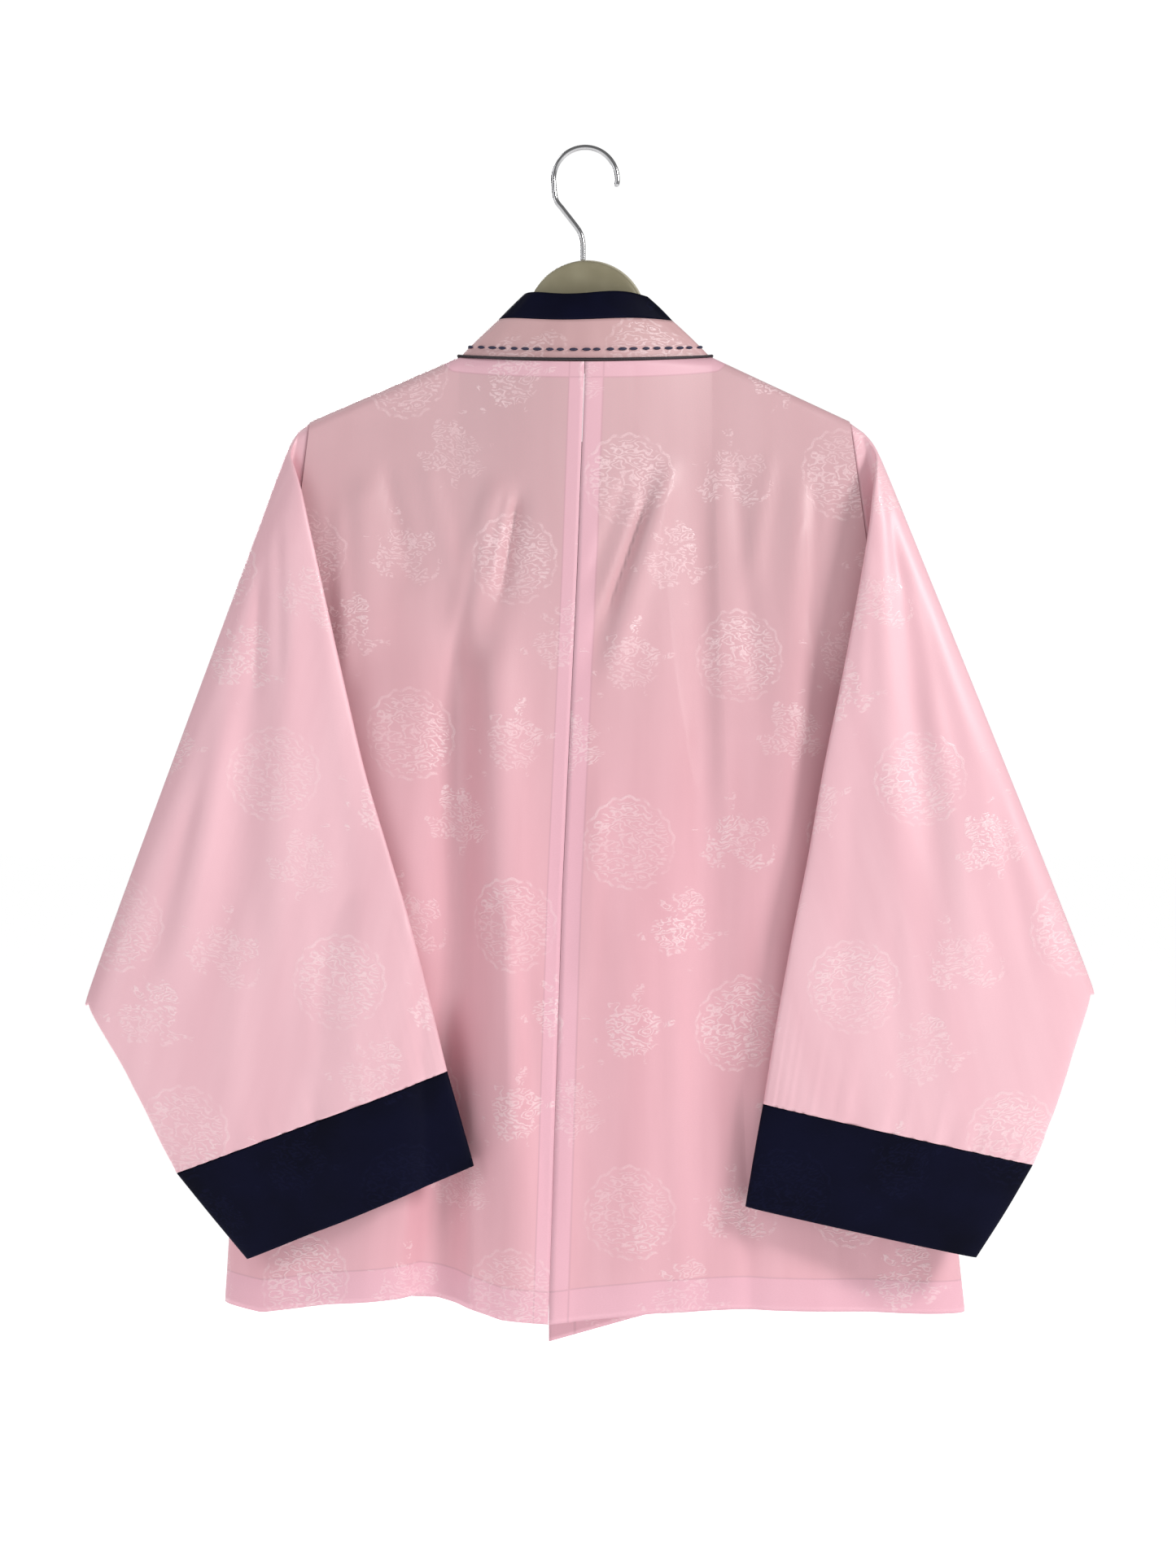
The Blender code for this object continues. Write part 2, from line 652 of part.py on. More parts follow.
def make_hanger(material):
    half = RIDGE_RADIUS - CLOTH - HANGER_ROOM
    hump = np.linspace(0.0, HUMP_HALF_WIDTH - 0.0005, 9)
    arm = np.array([0.044, 0.052, 0.070, 0.085, 0.094, 0.104, 0.125, 0.150, 0.175, HANGER_TIP])
    stations = np.concatenate([hump, arm])
    stations = np.concatenate([-stations[:0:-1], stations])
    rings = []
    angle = 2.0 * math.pi * (np.arange(HANGER_RING) + 0.5) / HANGER_RING
    for x in stations:
        top, low = float(hanger_top(np.float64(x))), float(hanger_low(x))
        thick = half if abs(x) > 0.10 else NECK_ARM_HALF
        straight = max((top - low) / 2 - thick, 0.0)
        y = thick * np.cos(angle)
        z = (top + low) / 2 + thick * np.sin(angle) + np.sign(np.sin(angle)) * straight
        rings.append(np.stack([np.full(HANGER_RING, x), y, z], axis=-1))
    add_mesh("hanger_body", *close_rod(np.array(rings)), material)


def make_hook(material):
    stem = [(x * MM, 0.0, z * MM) for x, z in WIRE]
    angles = np.radians(np.linspace(HOOK_START, HOOK_END, HOOK_STEPS))
    middle = WIRE_RADIUS - HOOK_RADIUS
    bend = [(HOOK_RADIUS * math.cos(a), 0.0, middle + HOOK_RADIUS * math.sin(a)) for a in angles]
    rings = round_rod(stem + bend, WIRE_RADIUS, WIRE_SIDES)
    add_mesh("hanger_hook", *close_rod(rings), material)


def main():
    for thing in list(bpy.data.objects):
        bpy.data.objects.remove(thing, do_unlink=True)
    cloth = make_material("pink_brocade", PINK, 0.45)
    dark = make_material("navy_satin", NAVY, 0.5)
    plastic = make_material("hanger_plastic", SHELL_GREY, 0.4)
    wire = make_material("hook_chrome", CHROME, 0.2, 1.0)
    make_body(cloth)
    make_sleeve("sleeve_left", "cuff_left", -1, LEFT_SLEEVE, LEFT_CUFF,
                LEFT_SLEEVE_FOLDS, cloth, dark)
    make_sleeve("sleeve_right", "cuff_right", 1, RIGHT_SLEEVE, RIGHT_CUFF,
                RIGHT_SLEEVE_FOLDS, cloth, dark)
    make_collar(cloth, dark)
    make_hanger(plastic)
    make_hook(wire)


main()
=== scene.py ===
# %% [markdown]
# # A hanbok jacket on its hanger
# The jacket hangs by its hanger and shows its back. Each piece of cloth is one grid of points
# that numpy works out from a formula, so a fold is a term in the formula and can be moved by
# changing one row of a table. Solidify then gives the grid its thin wall.

# %% Frame
import math

import bpy
import numpy as np
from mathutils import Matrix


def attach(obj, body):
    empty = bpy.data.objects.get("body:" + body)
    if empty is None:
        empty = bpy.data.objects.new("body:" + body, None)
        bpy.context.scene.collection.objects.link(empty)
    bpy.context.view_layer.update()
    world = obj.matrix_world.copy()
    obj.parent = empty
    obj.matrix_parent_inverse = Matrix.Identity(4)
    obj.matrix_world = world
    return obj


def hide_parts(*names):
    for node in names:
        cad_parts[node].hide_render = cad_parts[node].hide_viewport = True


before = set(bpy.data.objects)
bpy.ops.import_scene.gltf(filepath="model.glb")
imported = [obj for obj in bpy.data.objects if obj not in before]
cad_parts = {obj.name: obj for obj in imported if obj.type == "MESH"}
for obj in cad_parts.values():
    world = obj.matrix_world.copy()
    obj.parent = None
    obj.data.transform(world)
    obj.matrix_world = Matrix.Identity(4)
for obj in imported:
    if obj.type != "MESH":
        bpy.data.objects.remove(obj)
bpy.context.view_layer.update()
MM = 0.001

# %% [markdown]
# ## Camera
# The photograph looks straight at the back, from about two metres away and level with the
# middle of the jacket. A level camera keeps the side seams upright, so it isn't tilted: the
# picture's height is set by the lens alone.

# %% Camera
CAMERA_DISTANCE = 2.0
PICTURE_HEIGHT = 1.156          # metres of jacket plane that the picture shows, top to bottom
BACK_PLANE_Y = -0.040           # the plane of the sleeves, which the scale is true for
CAMERA_X, CAMERA_Z = 0.0021, -0.4767
SENSOR = 36.0

camera_data = bpy.data.cameras.new("camera")
camera_data.sensor_width = SENSOR
camera_data.lens = SENSOR * CAMERA_DISTANCE / PICTURE_HEIGHT
camera = bpy.data.objects.new("camera", camera_data)
camera.location = (CAMERA_X, BACK_PLANE_Y - CAMERA_DISTANCE, CAMERA_Z)
camera.rotation_euler = (math.radians(90), 0, 0)
bpy.context.scene.collection.objects.link(camera)
bpy.context.scene.camera = camera
print("lens in mm:", round(camera_data.lens, 1))

# %% [markdown]
# ## The shape of the body
# Four panels share one surface. Its outline is the shoulder line and the two sides, and its
# depth is a flat oval that gets a little deeper towards the hem, as cloth does when it hangs
# from a thin hanger. The folds are added to the depth.

# %% Sizes of the body
NECK_HALF_WIDTH, NECK_Z, BACK_NECK_DROP = 0.095, -0.157, 0.0066
TIP_Z, UNDERARM_Z, HEM_Z = -0.205, -0.445, -0.870
RIDGE_RADIUS, NECK_DEPTH, NECK_ROUND = 0.0085, 0.030, 0.57
HANG_DEPTH, HANG_LENGTH, FLARE, STAND_LENGTH = 0.026, 0.25, 0.014, 0.12
ARMHOLE_SWELL, LAP, SEAM_GAP = 0.009, 0.0055, 0.0003
LEFT_FRONT_EDGE, RIGHT_FRONT_EDGE, NECKLINE_SLOPE = 0.045, -0.028, 1.88

# Height and x of each line, in millimetres
LEFT_SIDE = ((-205, -206), (-445, -233), (-650, -256), (-870, -270))
RIGHT_SIDE = ((-205, 198), (-445, 229), (-650, 260), (-870, 284))
BACK_SEAM = ((-157, 0), (-320, -6), (-560, -17), (-870, -27))
# x and height of each hem, in millimetres
BACK_HEM = ((-270, -864), (-240, -869), (-190, -861), (-125, -855), (-95, -861), (-62, -871),
            (-26, -874), (50, -866), (110, -864), (200, -868), (284, -872))
LEFT_FRONT_HEM = ((-270, -864), (-150, -868), (45, -874))
RIGHT_FRONT_HEM = ((-28, -905), (57, -881), (120, -874), (284, -872))


def along_table(rows, at):
    """The second column where the first column is at, straight between the rows."""
    rows = sorted(rows)
    keys = np.array([row[0] for row in rows]) * MM
    values = np.array([row[1] for row in rows]) * MM
    return np.interp(at, keys, values)


def side_x(z, side):
    return along_table(LEFT_SIDE if side < 0 else RIGHT_SIDE, z)


def seam_x(z):
    return along_table(BACK_SEAM, z)


def smooth(value):
    """Rises softly from 0 to 1 while value goes from 0 to 1: 3 v squared - 2 v cubed."""
    value = np.clip(value, 0.0, 1.0)
    return value * value * (3.0 - 2.0 * value)


# %% [markdown]
# ## Folds
# A fold is a soft ridge or trough along a straight line: a bell curve across the line that
# fades at both ends. The big ones are the frame's own. The fine ones are creases that only
# the visible cloth has, each placed from the photograph, uneven as real ones are.

# %% Folds
# x0, z0, x1, z1, half width at each end and height, in millimetres
BACK_FOLDS = (
    (-71, -319, -41, -900, 17, 25, 9),
    (-95, -345, -98, -900, 17, 26, -12),
    (-104, -640, -118, -900, 15, 24, -13),
    (-150, -560, -160, -900, 22, 30, 7),
    (85, -235, 97, -800, 17, 26, -7),
    (163, -235, 145, -560, 13, 22, 5),
    (64, -241, 16, -397, 9, 11, 5),
    (52, -241, 3, -400, 9, 12, -4),
    (-47, -255, -75, -391, 9, 12, -4),
    (-66, -250, -95, -370, 9, 12, 4),
    (-167, -240, -160, -380, 11, 16, 4),
    (30, -560, 44, -900, 22, 30, 5),
    (190, -540, 215, -900, 22, 30, -8),
)
FRONT_FOLDS = (
    (-150, -330, -170, -900, 16, 26, 8),
    (-112, -360, -120, -900, 14, 24, -9),
    (-60, -520, -66, -900, 16, 24, 6),
    (120, -300, 135, -900, 15, 25, 8),
    (160, -350, 185, -900, 14, 24, -9),
    (70, -480, 80, -900, 14, 22, -7),
    (-190, -260, -150, -400, 10, 14, 4),
    (178, -260, 140, -420, 10, 14, 4),
)
BACK_CREASES = (
    (40, -262, 8, -352, 3.5, 4.5, 2.2),
    (47, -265, 15, -352, 3.0, 4.0, -2.2),
    (31, -250, 2, -330, 4.0, 5.0, -1.3),
    (-56, -262, -70, -330, 3.5, 5.0, 2.0),
    (-50, -262, -63, -340, 3.0, 4.5, -1.8),
    (-78, -290, -100, -400, 5.0, 7.0, -1.6),
    (112, -230, 128, -420, 6.0, 9.0, -1.8),
    (98, -240, 104, -520, 6.0, 9.0, 1.6),
    (140, -225, 122, -330, 5.0, 8.0, 1.5),
    (172, -245, 166, -370, 5.0, 8.0, -2.0),
    (-150, -235, -128, -330, 5.0, 8.0, -1.8),
    (-120, -235, -96, -330, 6.0, 9.0, 1.4),
    (-184, -262, -178, -400, 5.0, 8.0, 1.8),
    (-58, -560, -52, -740, 5.0, 8.0, 1.8),
    (-44, -600, -30, -800, 6.0, 9.0, -1.5),
    (-86, -700, -84, -900, 6.0, 9.0, 2.0),
    (-128, -720, -140, -900, 7.0, 9.0, 1.8),
    (12, -470, -2, -640, 7.0, 10.0, 1.2),
    (66, -620, 72, -900, 8.0, 12.0, 1.6),
    (118, -700, 124, -900, 7.0, 10.0, -1.8),
    (-10, -700, -20, -900, 6.0, 9.0, 1.0),
)
FRONT_CREASES = (
    (-130, -240, -100, -360, 5.0, 8.0, 1.8),
    (-90, -420, -84, -640, 5.0, 9.0, -1.8),
    (-40, -600, -36, -900, 7.0, 10.0, 1.6),
    (-200, -560, -214, -900, 7.0, 10.0, -1.8),
    (100, -260, 92, -380, 5.0, 8.0, -1.6),
    (145, -460, 150, -700, 6.0, 9.0, 1.8),
    (95, -640, 104, -900, 7.0, 10.0, -1.6),
    (225, -600, 240, -900, 8.0, 12.0, 1.8),
)


CREASE_DEPTH = 1.5              # all fine creases together, as a factor


def fold_height(x, z, folds):
    """All folds at a point: height times a bell curve of the distance from the fold's line,
    faded softly over the first quarter and the last third of the line."""
    total = np.zeros(np.broadcast(x, z).shape)
    for fold in folds:
        x0, z0, x1, z1, width0, width1, height = (value * MM for value in fold)
        run = math.hypot(x1 - x0, z1 - z0)
        along = ((x - x0) * (x1 - x0) + (z - z0) * (z1 - z0)) / run ** 2
        across = ((x - x0) * (z1 - z0) - (z - z0) * (x1 - x0)) / run
        width = width0 + (width1 - width0) * np.clip(along, 0.0, 1.0)
        fade = smooth(along / 0.25 + 0.3) * smooth((1.0 - along) / 0.3 + 0.3)
        total = total + height * fade * np.exp(-(across / width) ** 2)
    return total


# %% Depth of the body
def ridge_z(x):
    """Height of the shoulder: level across the neck, then falling straight to the tip."""
    out = np.abs(x) - NECK_HALF_WIDTH
    tip = np.where(x < 0, -side_x(TIP_Z, -1), side_x(TIP_Z, 1))
    return NECK_Z + (TIP_Z - NECK_Z) * np.clip(out / (tip - NECK_HALF_WIDTH), 0.0, 1.2)


def armhole_depth(z):
    """Half the armhole's depth: a half sine wave that closes at the underarm."""
    down = np.clip((TIP_Z - z) / (TIP_Z - UNDERARM_Z), 0.0, 1.0)
    swell = RIDGE_RADIUS + ARMHOLE_SWELL * np.sin(math.pi * down)
    return swell * np.sqrt(1.0 - down ** 6)


def body_y(x, z, face, fine=False):
    """Outer face of the body, -1 behind and 1 in front: an oval across, deeper lower down,
    rounded over the shoulder's ridge, plus the folds where the cloth hangs free."""
    x, z = np.broadcast_arrays(np.asarray(x, float), np.asarray(z, float))
    middle = seam_x(z) if face < 0 else 0.0
    side = np.where(x < middle, side_x(z, -1), side_x(z, 1))
    share = np.clip(np.abs((x - middle) / (side - middle)), 0.0, 1.0)
    below = np.maximum(ridge_z(x) - z, 0.0)
    neck = np.clip(1.0 - (x / NECK_HALF_WIDTH) ** 2, 0.0, 1.0) ** NECK_ROUND
    turn = 1.0 - np.minimum(below / RIDGE_RADIUS, 1.0)
    ridge = np.sqrt(np.clip(1.0 - turn ** 2 * (1.0 - neck ** 2), 0.0, 1.0))
    hang = HANG_DEPTH * (1.0 - np.exp(-below / HANG_LENGTH)) + FLARE * below
    stand = (NECK_DEPTH - RIDGE_RADIUS) * neck ** 2 * np.exp(-below / STAND_LENGTH)
    edge = np.where(z > UNDERARM_Z, armhole_depth(z), 0.0)
    flat = 0.35 + 0.85 * smooth((z - UNDERARM_Z) / 0.08)
    depth = edge + (RIDGE_RADIUS + hang + stand - edge) * (1.0 - share ** 2) ** flat
    folds = fold_height(x, z, BACK_FOLDS if face < 0 else FRONT_FOLDS)
    if fine:
        creases = BACK_CREASES if face < 0 else FRONT_CREASES
        folds = folds + CREASE_DEPTH * fold_height(x, z, creases)
    calm = smooth((below - 0.030) / 0.050) * smooth((1.0 - share) / 0.25)
    return face * (SEAM_GAP / 2 + ridge * depth + folds * calm)


print("half depth at the hem in mm:", round(float(-body_y(0.0, HEM_Z, -1)) / MM, 1))

# %% [markdown]
# ## From a grid to cloth
# One helper turns any grid of points into a mesh with quads. It also stores how far each
# point is across and down the cut cloth, in metres, as the UV map *cloth*: the woven pattern
# reads it, so it bends with the folds as weaving does. Distances from the seam, the hem and
# the neck go into attributes, for the doubled cloth that shows through there, for painted
# shadow lines along its edges and for the painted shade near the neck.

# %% Cloth helpers
WALL = 0.0009                   # a thin wall, outside flush with the frame's solids
FAR = 1.0                       # an attribute's value where the piece has no such seam


def run_length(points, axis):
    """Distance along the grid from its first line, summed point to point."""
    steps = np.linalg.norm(np.diff(points, axis=axis), axis=2)
    start = np.zeros_like(np.take(steps, [0], axis=axis))
    return np.concatenate([start, np.cumsum(steps, axis=axis)], axis=axis)


def cloth_mesh(name, points, cloth_uv, distances, closed=False):
    """A mesh of quads from rows and columns of points. closed joins the last column to the
    first, for a tube, whose first column is repeated in the UV map only."""
    rows, columns = points.shape[:2]
    row, column = np.meshgrid(np.arange(rows - 1), np.arange(columns - (not closed)),
                              indexing="ij")
    after = (column + 1) % columns
    faces = np.stack([row * columns + column, row * columns + after,
                      (row + 1) * columns + after, (row + 1) * columns + column], axis=-1)
    faces = faces.reshape(-1, 4)
    mesh = bpy.data.meshes.new(name)
    mesh.from_pydata(points.reshape(-1, 3), [], faces)
    corner_row = np.stack([row, row, row + 1, row + 1], axis=-1).reshape(-1)
    corner_column = np.stack([column, column + 1, column + 1, column], axis=-1).reshape(-1)
    layer = mesh.uv_layers.new(name="cloth")
    layer.data.foreach_set("uv", cloth_uv[corner_row, corner_column].astype(np.float32).ravel())
    for key, values in distances.items():
        attribute = mesh.attributes.new(key, "FLOAT", "POINT")
        full = np.broadcast_to(np.asarray(values, np.float32), (rows, columns))
        attribute.data.foreach_set("value", np.ascontiguousarray(full).ravel())
    mesh.shade_smooth()
    return mesh


def grid_area(points, closed=False):
    """Area of the grid: half the cross product of each quad's diagonals, summed."""
    if closed:
        points = np.concatenate([points, points[:, :1]], axis=1)
    first = points[1:, 1:] - points[:-1, :-1]
    second = points[1:, :-1] - points[:-1, 1:]
    return float(np.linalg.norm(np.cross(first, second), axis=2).sum() / 2)


def add_cloth(name, mesh, material, node, inward):
    """Links the mesh, gives it a wall with Solidify and lets it stand for its node. inward is
    -1 where the faces point out of the garment, and 1 where they point in."""
    thing = bpy.data.objects.new(name, mesh)
    bpy.context.scene.collection.objects.link(thing)
    mesh.materials.append(material)
    solid = thing.modifiers.new("wall", "SOLIDIFY")
    solid.thickness = WALL
    solid.offset = inward
    solid.use_even_offset = False
    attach(thing, "root")
    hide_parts(node)
    return thing


def cut_of(points, closed=False):
    """Flat size of a grid: its longest row, its longest column, and its area."""
    ring = np.concatenate([points, points[:, :1]], axis=1) if closed else points
    width = float(run_length(ring, 1)[:, -1].max())
    length = float(run_length(points, 0)[-1].max())
    return (round(width, 3), round(length, 3)), round(grid_area(points, closed), 4)


# %% [markdown]
# ## Node helpers
# The finishes are drawn with Math nodes. Written out, each would take three lines, so one
# function makes a node, fills its sockets and returns its output.

# %% Node helpers
def new_material(name):
    material = bpy.data.materials.new(name)
    material.use_nodes = True
    return material, material.node_tree, material.node_tree.nodes["Principled BSDF"]


def calc(tree, operation, *values):
    """One Math node. Numbers go into its sockets, and outputs are linked to them."""
    node = tree.nodes.new("ShaderNodeMath")
    node.operation = operation
    for socket, value in zip(node.inputs, values):
        if isinstance(value, (int, float)):
            socket.default_value = value
        else:
            tree.links.new(value, socket)
    return node.outputs[0]


def band(tree, value, low, high):
    """0 below low, 1 above high and a soft step between them."""
    node = tree.nodes.new("ShaderNodeMapRange")
    node.interpolation_type = "SMOOTHSTEP"
    tree.links.new(value, node.inputs["Value"])
    node.inputs["From Min"].default_value = low
    node.inputs["From Max"].default_value = high
    return node.outputs["Result"]


def mix(tree, share, first, second):
    """A colour between two, each a tuple or an output."""
    node = tree.nodes.new("ShaderNodeMix")
    node.data_type = "RGBA"
    tree.links.new(share, node.inputs[0])
    for socket, value in ((node.inputs[6], first), (node.inputs[7], second)):
        if isinstance(value, tuple):
            socket.default_value = value
        else:
            tree.links.new(value, socket)
    return node.outputs[2]


def combine(tree, x, y, z=0.0):
    node = tree.nodes.new("ShaderNodeCombineXYZ")
    for socket, value in zip(node.inputs, (x, y, z)):
        if isinstance(value, (int, float)):
            socket.default_value = value
        else:
            tree.links.new(value, socket)
    return node.outputs[0]


def noise(tree, vector, scale, detail=2.0, roughness=0.5):
    node = tree.nodes.new("ShaderNodeTexNoise")
    node.inputs["Scale"].default_value = scale
    node.inputs["Detail"].default_value = detail
    node.inputs["Roughness"].default_value = roughness
    tree.links.new(vector, node.inputs["Vector"])
    return node.outputs["Fac"]


def cloth_place(tree):
    """Across and down the cut cloth, in metres, from the UV map."""
    node = tree.nodes.new("ShaderNodeUVMap")
    node.uv_map = "cloth"
    split = tree.nodes.new("ShaderNodeSeparateXYZ")
    tree.links.new(node.outputs[0], split.inputs[0])
    return split.outputs[0], split.outputs[1]


def attribute(tree, name):
    node = tree.nodes.new("ShaderNodeAttribute")
    node.attribute_name = name
    return node.outputs["Fac"]


# %% [markdown]
# ## The brocade
# The silk has round medallions about 72 mm wide, staggered, with small cloud sprays between
# them. They are woven in the cloth's own colour and show only because their threads float
# and shine; here that shine is painted as a lighter colour, brighter at random painted glints,
# besides a lower roughness. Both are drawn from distances: a motif's own coordinates come from
# repeating the cloth's, a circle cuts it out, and the curling lines inside are the contour
# lines of a noise, which gives scrolls like those of traditional cloth without copying any one
# of them.

# %% Motifs
REPEAT_ACROSS, REPEAT_DOWN = 0.170, 0.272
MEDALLION_RADIUS = 0.036
SPRAY_RADIUS = 0.027


def motif_place(tree, across, down, shift_across, shift_down):
    """Coordinates from the centre of the nearest motif, and the distance to it."""
    local = []
    for value, period, shift in ((across, REPEAT_ACROSS, shift_across),
                                 (down, REPEAT_DOWN, shift_down)):
        turned = calc(tree, "FRACT", calc(tree, "ADD", calc(tree, "DIVIDE", value, period),
                                          shift))
        local.append(calc(tree, "MULTIPLY", calc(tree, "SUBTRACT", turned, 0.5), period))
    x, y = local
    far = calc(tree, "SQRT", calc(tree, "ADD", calc(tree, "MULTIPLY", x, x),
                                  calc(tree, "MULTIPLY", y, y)))
    return x, y, far


def scrolls(tree, x, y, seed, scale, lines):
    """Curling lines: the contours of a noise, thin where its value times lines is whole."""
    wide = calc(tree, "MULTIPLY", x, 0.75)
    tall = calc(tree, "MULTIPLY", y, 1.35)
    field = noise(tree, combine(tree, wide, tall, seed), scale, 1.5, 0.4)
    turned = calc(tree, "FRACT", calc(tree, "MULTIPLY", field, lines))
    edge = calc(tree, "ABSOLUTE", calc(tree, "SUBTRACT", turned, 0.5))
    return calc(tree, "SUBTRACT", 1.0, band(tree, edge, 0.10, 0.30))


def medallion(tree, across, down, shift, seed):
    """Scrolls inside a circle, closed by a scalloped double ring."""
    x, y, far = motif_place(tree, across, down, *shift)
    angle = calc(tree, "ARCTAN2", y, x)
    scallop = calc(tree, "MULTIPLY", calc(tree, "COSINE", calc(tree, "MULTIPLY", angle, 18.0)),
                   0.0009)
    edge = calc(tree, "ADD", far, scallop)
    inside = calc(tree, "SUBTRACT", 1.0, band(tree, far, 0.029, 0.031))
    ring = calc(tree, "SUBTRACT", 1.0, band(tree, calc(tree, "ABSOLUTE", calc(
        tree, "SUBTRACT", edge, 0.0335)), 0.0006, 0.0016))
    drawn = calc(tree, "MULTIPLY", inside, scrolls(tree, x, y, seed, 115.0, 7.0))
    broken = band(tree, noise(tree, combine(tree, x, y, seed), 160.0, 1.0), 0.34, 0.56)
    ring = calc(tree, "MULTIPLY", ring, calc(tree, "MULTIPLY", broken, 0.75))
    return calc(tree, "MAXIMUM", drawn, ring)


def spray(tree, across, down, shift, seed):
    """A loose cloud: scrolls where a noise, less the distance from its centre, is high."""
    x, y, far = motif_place(tree, across, down, *shift)
    cloud = noise(tree, combine(tree, x, y, seed + 3.0), 70.0, 1.0)
    falling = calc(tree, "DIVIDE", far, SPRAY_RADIUS * 2.2)
    inside = band(tree, calc(tree, "SUBTRACT", cloud, falling), 0.10, 0.16)
    return calc(tree, "MULTIPLY", inside, scrolls(tree, x, y, seed, 125.0, 7.0))


def woven_motifs(tree, across, down):
    """The medallions at two places in each repeat, and the sprays between them."""
    bent = noise(tree, combine(tree, across, down, 9.0), 6.0, 0.0)
    across = calc(tree, "ADD", across, calc(tree, "MULTIPLY", bent, 0.004))
    made = None
    for shape, shift, seed in ((medallion, (0.5, 0.5), 1.3), (medallion, (0.0, 0.0), 1.3),
                               (spray, (0.0, 0.5), 5.1), (spray, (0.5, 0.0), 7.7),
                               (spray, (0.27, 0.28), 2.9), (spray, (0.77, 0.78), 4.4)):
        one = shape(tree, across, down, shift, seed)
        made = one if made is None else calc(tree, "MAXIMUM", made, one)
    return made


# %% Brocade
def brocade(name, ground, shade, float_sheen, shift=0.0, inside_shade=0.0):
    """Satin ground with floating threads. ground and shade are mixed by slow streaks, the third
    colour is the motifs' painted sheen, and the last argument greys the cloth near the neck with
    painted shade, for the dark inside seen through the thin silk."""
    material, tree, shader = new_material(name)
    across, down = cloth_place(tree)
    across = calc(tree, "ADD", across, shift)
    motifs = woven_motifs(tree, across, down)
    grain = noise(tree, combine(tree, calc(tree, "MULTIPLY", across, 700.0),
                                calc(tree, "MULTIPLY", down, 1500.0)), 1.0, 2.0)
    threads = calc(tree, "MULTIPLY", motifs, band(tree, grain, 0.30, 0.55))
    # Painted highlight: random patches where the motifs' painted sheen is brighter, as where
    # silk catches the light.
    painted_glint = band(tree, noise(tree, combine(tree, across, down, 4.0), 16.0, 2.0), 0.38, 0.66)
    threads = calc(tree, "MULTIPLY", threads, calc(tree, "ADD", 0.60, calc(
        tree, "MULTIPLY", painted_glint, 0.60)))
    streaks = noise(tree, combine(tree, calc(tree, "MULTIPLY", across, 26.0),
                                  calc(tree, "MULTIPLY", down, 3.5)), 1.0, 3.0)
    colour = mix(tree, band(tree, streaks, 0.30, 0.75), ground, shade)
    # Painted shade: near the neck the cloth is greyed, for the dark inside seen through the thin
    # silk.
    near_neck = calc(tree, "SUBTRACT", 1.0, band(tree, attribute(tree, "from_neck"), 0.02, 0.42))
    colour = mix(tree, calc(tree, "MULTIPLY", near_neck, inside_shade), colour, SEEN_THROUGH_SHADE)
    doubled, stitch_shadow = None, None
    for key, width in (("from_seam", 0.0125), ("from_hem", 0.024), ("from_neck", 0.0115)):
        value = attribute(tree, key)
        one = calc(tree, "SUBTRACT", 1.0, band(tree, value, width - 0.0006, width + 0.0006))
        away = calc(tree, "ABSOLUTE", calc(tree, "SUBTRACT", value, width))
        line = calc(tree, "SUBTRACT", 1.0, band(tree, away, 0.0002, 0.0010))
        doubled = one if doubled is None else calc(tree, "MAXIMUM", doubled, one)
        stitch_shadow = line if stitch_shadow is None else calc(tree, "MAXIMUM", stitch_shadow, line)
    colour = mix(tree, calc(tree, "MULTIPLY", doubled, 0.55), colour, DOUBLED_PINK)
    # Painted shadow: a thin darker line along each edge of the doubled cloth, at its stitching.
    colour = mix(tree, calc(tree, "MULTIPLY", stitch_shadow, 0.38), colour, STITCH_SHADOW_PINK)
    # Painted sheen: the motifs painted in a lighter colour, brighter at the painted glints.
    colour = mix(tree, calc(tree, "MULTIPLY", threads, 0.62), colour, float_sheen)
    speckle = calc(tree, "MULTIPLY", band(tree, grain, 0.35, 0.65), 0.22)
    colour = mix(tree, speckle, colour, shade)
    tree.links.new(colour, shader.inputs["Base Color"])
    rough = calc(tree, "SUBTRACT", 0.44, calc(tree, "MULTIPLY", threads, 0.22))
    tree.links.new(rough, shader.inputs["Roughness"])
    bump = tree.nodes.new("ShaderNodeBump")
    bump.inputs["Strength"].default_value = 0.35
    bump.inputs["Distance"].default_value = 0.0004
    height = calc(tree, "ADD", calc(tree, "MULTIPLY", grain, 0.35), threads)
    tree.links.new(height, bump.inputs["Height"])
    tree.links.new(bump.outputs[0], shader.inputs["Normal"])
    shader.inputs["Sheen Weight"].default_value = 0.12
    shader.inputs["Sheen Roughness"].default_value = 0.35
    shader.inputs["Specular IOR Level"].default_value = 0.55
    shader.inputs["Anisotropic"].default_value = 0.45
    return material


# The body's pink is darker than the sleeves', though it is the same silk: painted shade, for the
# shade between the sleeves and the dark inside behind the thin silk.
PINK = (0.755, 0.420, 0.475, 1)
PINK_SHADE = (0.680, 0.355, 0.405, 1)
# Painted sheen: the motifs' floating threads, painted lighter than the ground.
PINK_FLOAT_SHEEN = (0.900, 0.700, 0.720, 1)
SLEEVE_PINK = (0.800, 0.490, 0.545, 1)
SLEEVE_SHADE = (0.740, 0.430, 0.485, 1)
# Painted shade: the dark inside seen through the thin silk near the neck.
SEEN_THROUGH_SHADE = (0.500, 0.355, 0.360, 1)
DOUBLED_PINK = (0.790, 0.445, 0.545, 1)
# Painted shadow along the stitched edges of the doubled cloth.
STITCH_SHADOW_PINK = (0.480, 0.250, 0.300, 1)
COLLAR_PINK = (0.590, 0.365, 0.375, 1)
COLLAR_SHADE = (0.540, 0.325, 0.335, 1)

